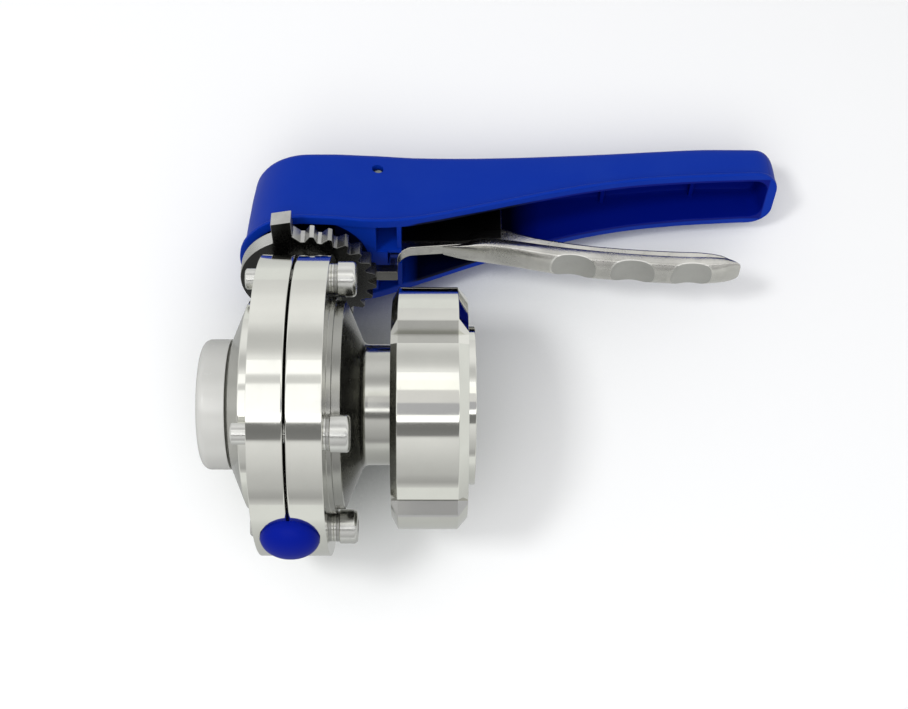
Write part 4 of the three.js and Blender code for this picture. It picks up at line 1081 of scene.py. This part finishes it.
# %% Lever grip
grip_bottom = smooth_line(
    [
        (42, 4.4), (47, 3.4), (53.4, 2.35), (60, 1.5), (66, 0.3), (72, -1.1), (81, -2.8), (90, -4),
        (100, -4.95), (109, -5.55), (119, -6.05), (127, -5.4), (134.2, -3.7),
    ]
)
grip_upper = smooth_line(
    [
        (42, 4.8), (47, 5.2), (50, 5.7), (52, 6.6), (54.5, 7.1), (60, 6), (66, 5.1), (78, 3.05), (90, 1.45),
        (102, 0.2), (115, -0.65), (128, -1.05), (134.2, -2.3),
    ]
)
back_top = smooth_line(
    [
        (48, 8.6), (53, 10.3), (59, 11.3), (66, 8.95), (72, 7.15), (78.5, 5.75), (85, 4.6), (91, 3.8),
        (103, 2.67), (115.7, 1.93), (122, 1.7), (128, 0.7), (132.7, -1.4),
    ]
)
back_width = smooth_line([(48, 2.2), (56, 3.2), (64, 3.7), (125, 3.8)])
grip_width = smooth_line([(42, 1.9), (47, 3), (53, 4.2), (58, 4.6), (64, 4.7), (125, 4.7)])
GRIP_TIP = 134.2
FINGER_PLACES, FINGER_RADIUS, FINGER_DEPTH = (81, 100, 119), 12.4, 2.0


def rounded_end(x, end, round_):
    into = min(max((x - (end - round_)) / round_, 0), 1)
    return math.sqrt(max(1 - into**2, 0))


def grip_ring(x):
    width = grip_width(x) * (0.5 + 0.5 * rounded_end(x, GRIP_TIP, 5))
    upper, bottom = grip_upper(x), grip_bottom(x)
    middle = (upper - bottom) * 0.33 + bottom
    lean = min(0.7, width / 3)
    ring = [
        (width * math.cos(math.radians(a)), middle + (middle - bottom) * math.sin(math.radians(a)))
        for a in spread(180, 360, 18)
    ]
    over = [(width - lean * t * t, middle + (upper - middle) * t) for t in spread(0, 1, 6)[1:]]
    over.append((over[-1][0] - 0.18, upper + 0.02))
    ring += over + [(-y, z) for y, z in reversed(over)]
    return [(x, y, HUB_BASE + z) for y, z in ring]


def back_ring(x):
    width = back_width(x) * (0.5 + 0.5 * rounded_end(x, GRIP_TIP - 1.5, 5))
    low, top = grip_upper(x) - 1.2, back_top(x)
    round_ = min(1.1, width / 2)
    side = [(width, low), (width, top - round_)]
    for angle in (22.5, 45, 67.5, 90):
        s, c = math.sin(math.radians(angle)), math.cos(math.radians(angle))
        side.append((width - round_ * (1 - c), top - round_ * (1 - s)))
    return [(x, y, HUB_BASE + z) for y, z in side + [(-y, z) for y, z in reversed(side)]]


def bar_places(start, end):
    return spread(start, end - 5, 44) + [end - 5 + 5 * math.sin(math.radians(a)) for a in range(10, 91, 10)]


lever = skin([grip_ring(x) for x in bar_places(42, GRIP_TIP)], closed=True, capped=True)
back = skin([back_ring(x) for x in bar_places(48, GRIP_TIP - 1.5)], closed=True, capped=True)
join_or_cut(lever, back, "UNION")
print("grip:", len(lever.data.vertices), "points")

# %% Lever web
LEG_BOTTOM = 50 - 2.8 - HUB_BASE
web_outline = [(19.5, LEG_BOTTOM), (27.9, LEG_BOTTOM), (27.9, -0.9)]
web_outline += [
    (32.9 + 5 * math.cos(math.radians(a)), -0.9 + 5 * math.sin(math.radians(a)))
    for a in spread(180, 90, 8)[1:]
]
web_outline += [(54, 5.9), (66.4, 3.8), (68, 7.1), (60.5, 9.8), (60.5, 20.7), (57.9, 21.9), (46.2, 19.5)]
web_outline += [(37.8, 19.5), (26.3, 25.92)]
web_outline += [
    (21.5 + 3.2 * math.cos(math.radians(a)), 24 + 3.2 * math.sin(math.radians(a)))
    for a in spread(45, 180, 12)
]
web_outline += [(18.62, 17.6), (25.3, 8.2), (25.3, LEG_BOTTOM + 3.2), (19.5, LEG_BOTTOM + 3.2)]
web = draw_line([(x, -2.05, HUB_BASE + z) for x, z in web_outline], closed=True)
bpy.ops.mesh.edge_face_add()
bpy.ops.mesh.extrude_region_move(TRANSFORM_OT_translate={"value": (0, 4.1 * MM, 0)})
close_up()
apply_modifier(web, "BEVEL", width=0.35 * MM, segments=3, angle_limit=math.radians(35))
join_or_cut(lever, web, "UNION")
join_or_cut(lever, rod("Z", 4.2, HUB_BASE + 16.5, HUB_BASE + 19.5, (42, 0, 0), 48), "UNION")
for x in FINGER_PLACES:
    centre = HUB_BASE + grip_bottom(x) + FINGER_DEPTH - FINGER_RADIUS
    join_or_cut(lever, rod("Y", FINGER_RADIUS, -9, 9, (x, 0, centre), 160))
join_or_cut(lever, rod("Y", 1.8, -5, 5, (21.5, 0, 77), 48))
dress(lever, "cast_lever", "lever", 40)

# %% [markdown]
# ## Seat and disc
#
# Inside the body a rubber ring holds the disc. The disc is a turned lens, thick round its hub, with a
# bar through it that ends in the two trunnions.

# %% Seat and disc
seat = turn([(-7, 16), (-7, 23.7), (7, 23.7), (7, 16)], "X", 128, 0.4)
join_or_cut(seat, rod("Z", 5.3, -25, 25))
dress(seat, "seat_moulding", "seat_ring")

lens_half = [(2, 0), (2, 6), (1.88, 9), (1.5, 12), (1.1, 14.1), (1.1, 15.7)]
lens = [(-along, radius) for along, radius in lens_half] + lens_half[::-1]
disc = turn(lens, "Z", 160, 0.2, closed=False)
disc.data.transform(Matrix.Rotation(math.pi / 2, 4, "X"))
hub = rod("Z", 5.6, -14.1, 14.1, sides=96)
apply_modifier(hub, "BEVEL", width=0.9 * MM, segments=3)
join_or_cut(disc, hub, "UNION")
join_or_cut(disc, rod("Z", 5, -37, 18.5, sides=96), "UNION")
join_or_cut(disc, block((-3.3, -3.3, 10.5), (3.3, 3.3, 19)))
dress(disc, "turned_disc", "disc")

# %% [markdown]
# ## Screw in the top of the handle
#
# A round-headed socket screw on a washer sits in the recess over the stem.

# %% Handle screw and washer
HEAD_SEAT = 79.4
washer = turn([(78.3, 2.8), (78.3, 6.2), (HEAD_SEAT, 6.2), (HEAD_SEAT, 2.8)], "Z", 96, 0.2)
dress(washer, "handle_plain_washer", "handle_washer")
screw_outline = [(62.3, 0), (62.3, 2.1), (62.7, 2.5), (HEAD_SEAT, 2.5), (HEAD_SEAT, 4.4)]
screw_outline.append((HEAD_SEAT + 0.3, 4.6))
for angle in range(10, 91, 10):
    s, c = math.sin(math.radians(angle)), math.cos(math.radians(angle))
    screw_outline.append((HEAD_SEAT + 0.4 + 2.4 * s, 1.9 + 2.7 * c))
screw = turn(screw_outline + [(HEAD_SEAT + 2.8, 0)], "Z", 96, 0, closed=False)
join_or_cut(screw, rod("Z", 1.5 / math.cos(math.pi / 6), HEAD_SEAT + 1.1, HEAD_SEAT + 4, sides=6))
dress(screw, "round_head_screw", "handle_screw")

# %% [markdown]
# ## Pivot pin
#
# A short dowel with rounded ends, a little shorter than its bore, so that the bore's rim shows round it.

# %% Pivot pin
pin_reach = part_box("pivot_pin")[1][1] / MM - 0.45
pin_half = [(0, 1.5), (pin_reach - 0.4, 1.5), (pin_reach - 0.1, 1.3), (pin_reach, 0.9), (pin_reach, 0)]
pin_outline = [(-along, radius) for along, radius in pin_half[::-1]] + pin_half[1:]
dowel = turn(pin_outline, "Z", 64, 0, closed=False)
dowel.data.transform(Matrix.Translation(Vector((21.5, 0, 77)) * MM) @ Matrix.Rotation(math.pi / 2, 4, "X"))
dress(dowel, "dowel", "pivot_pin")
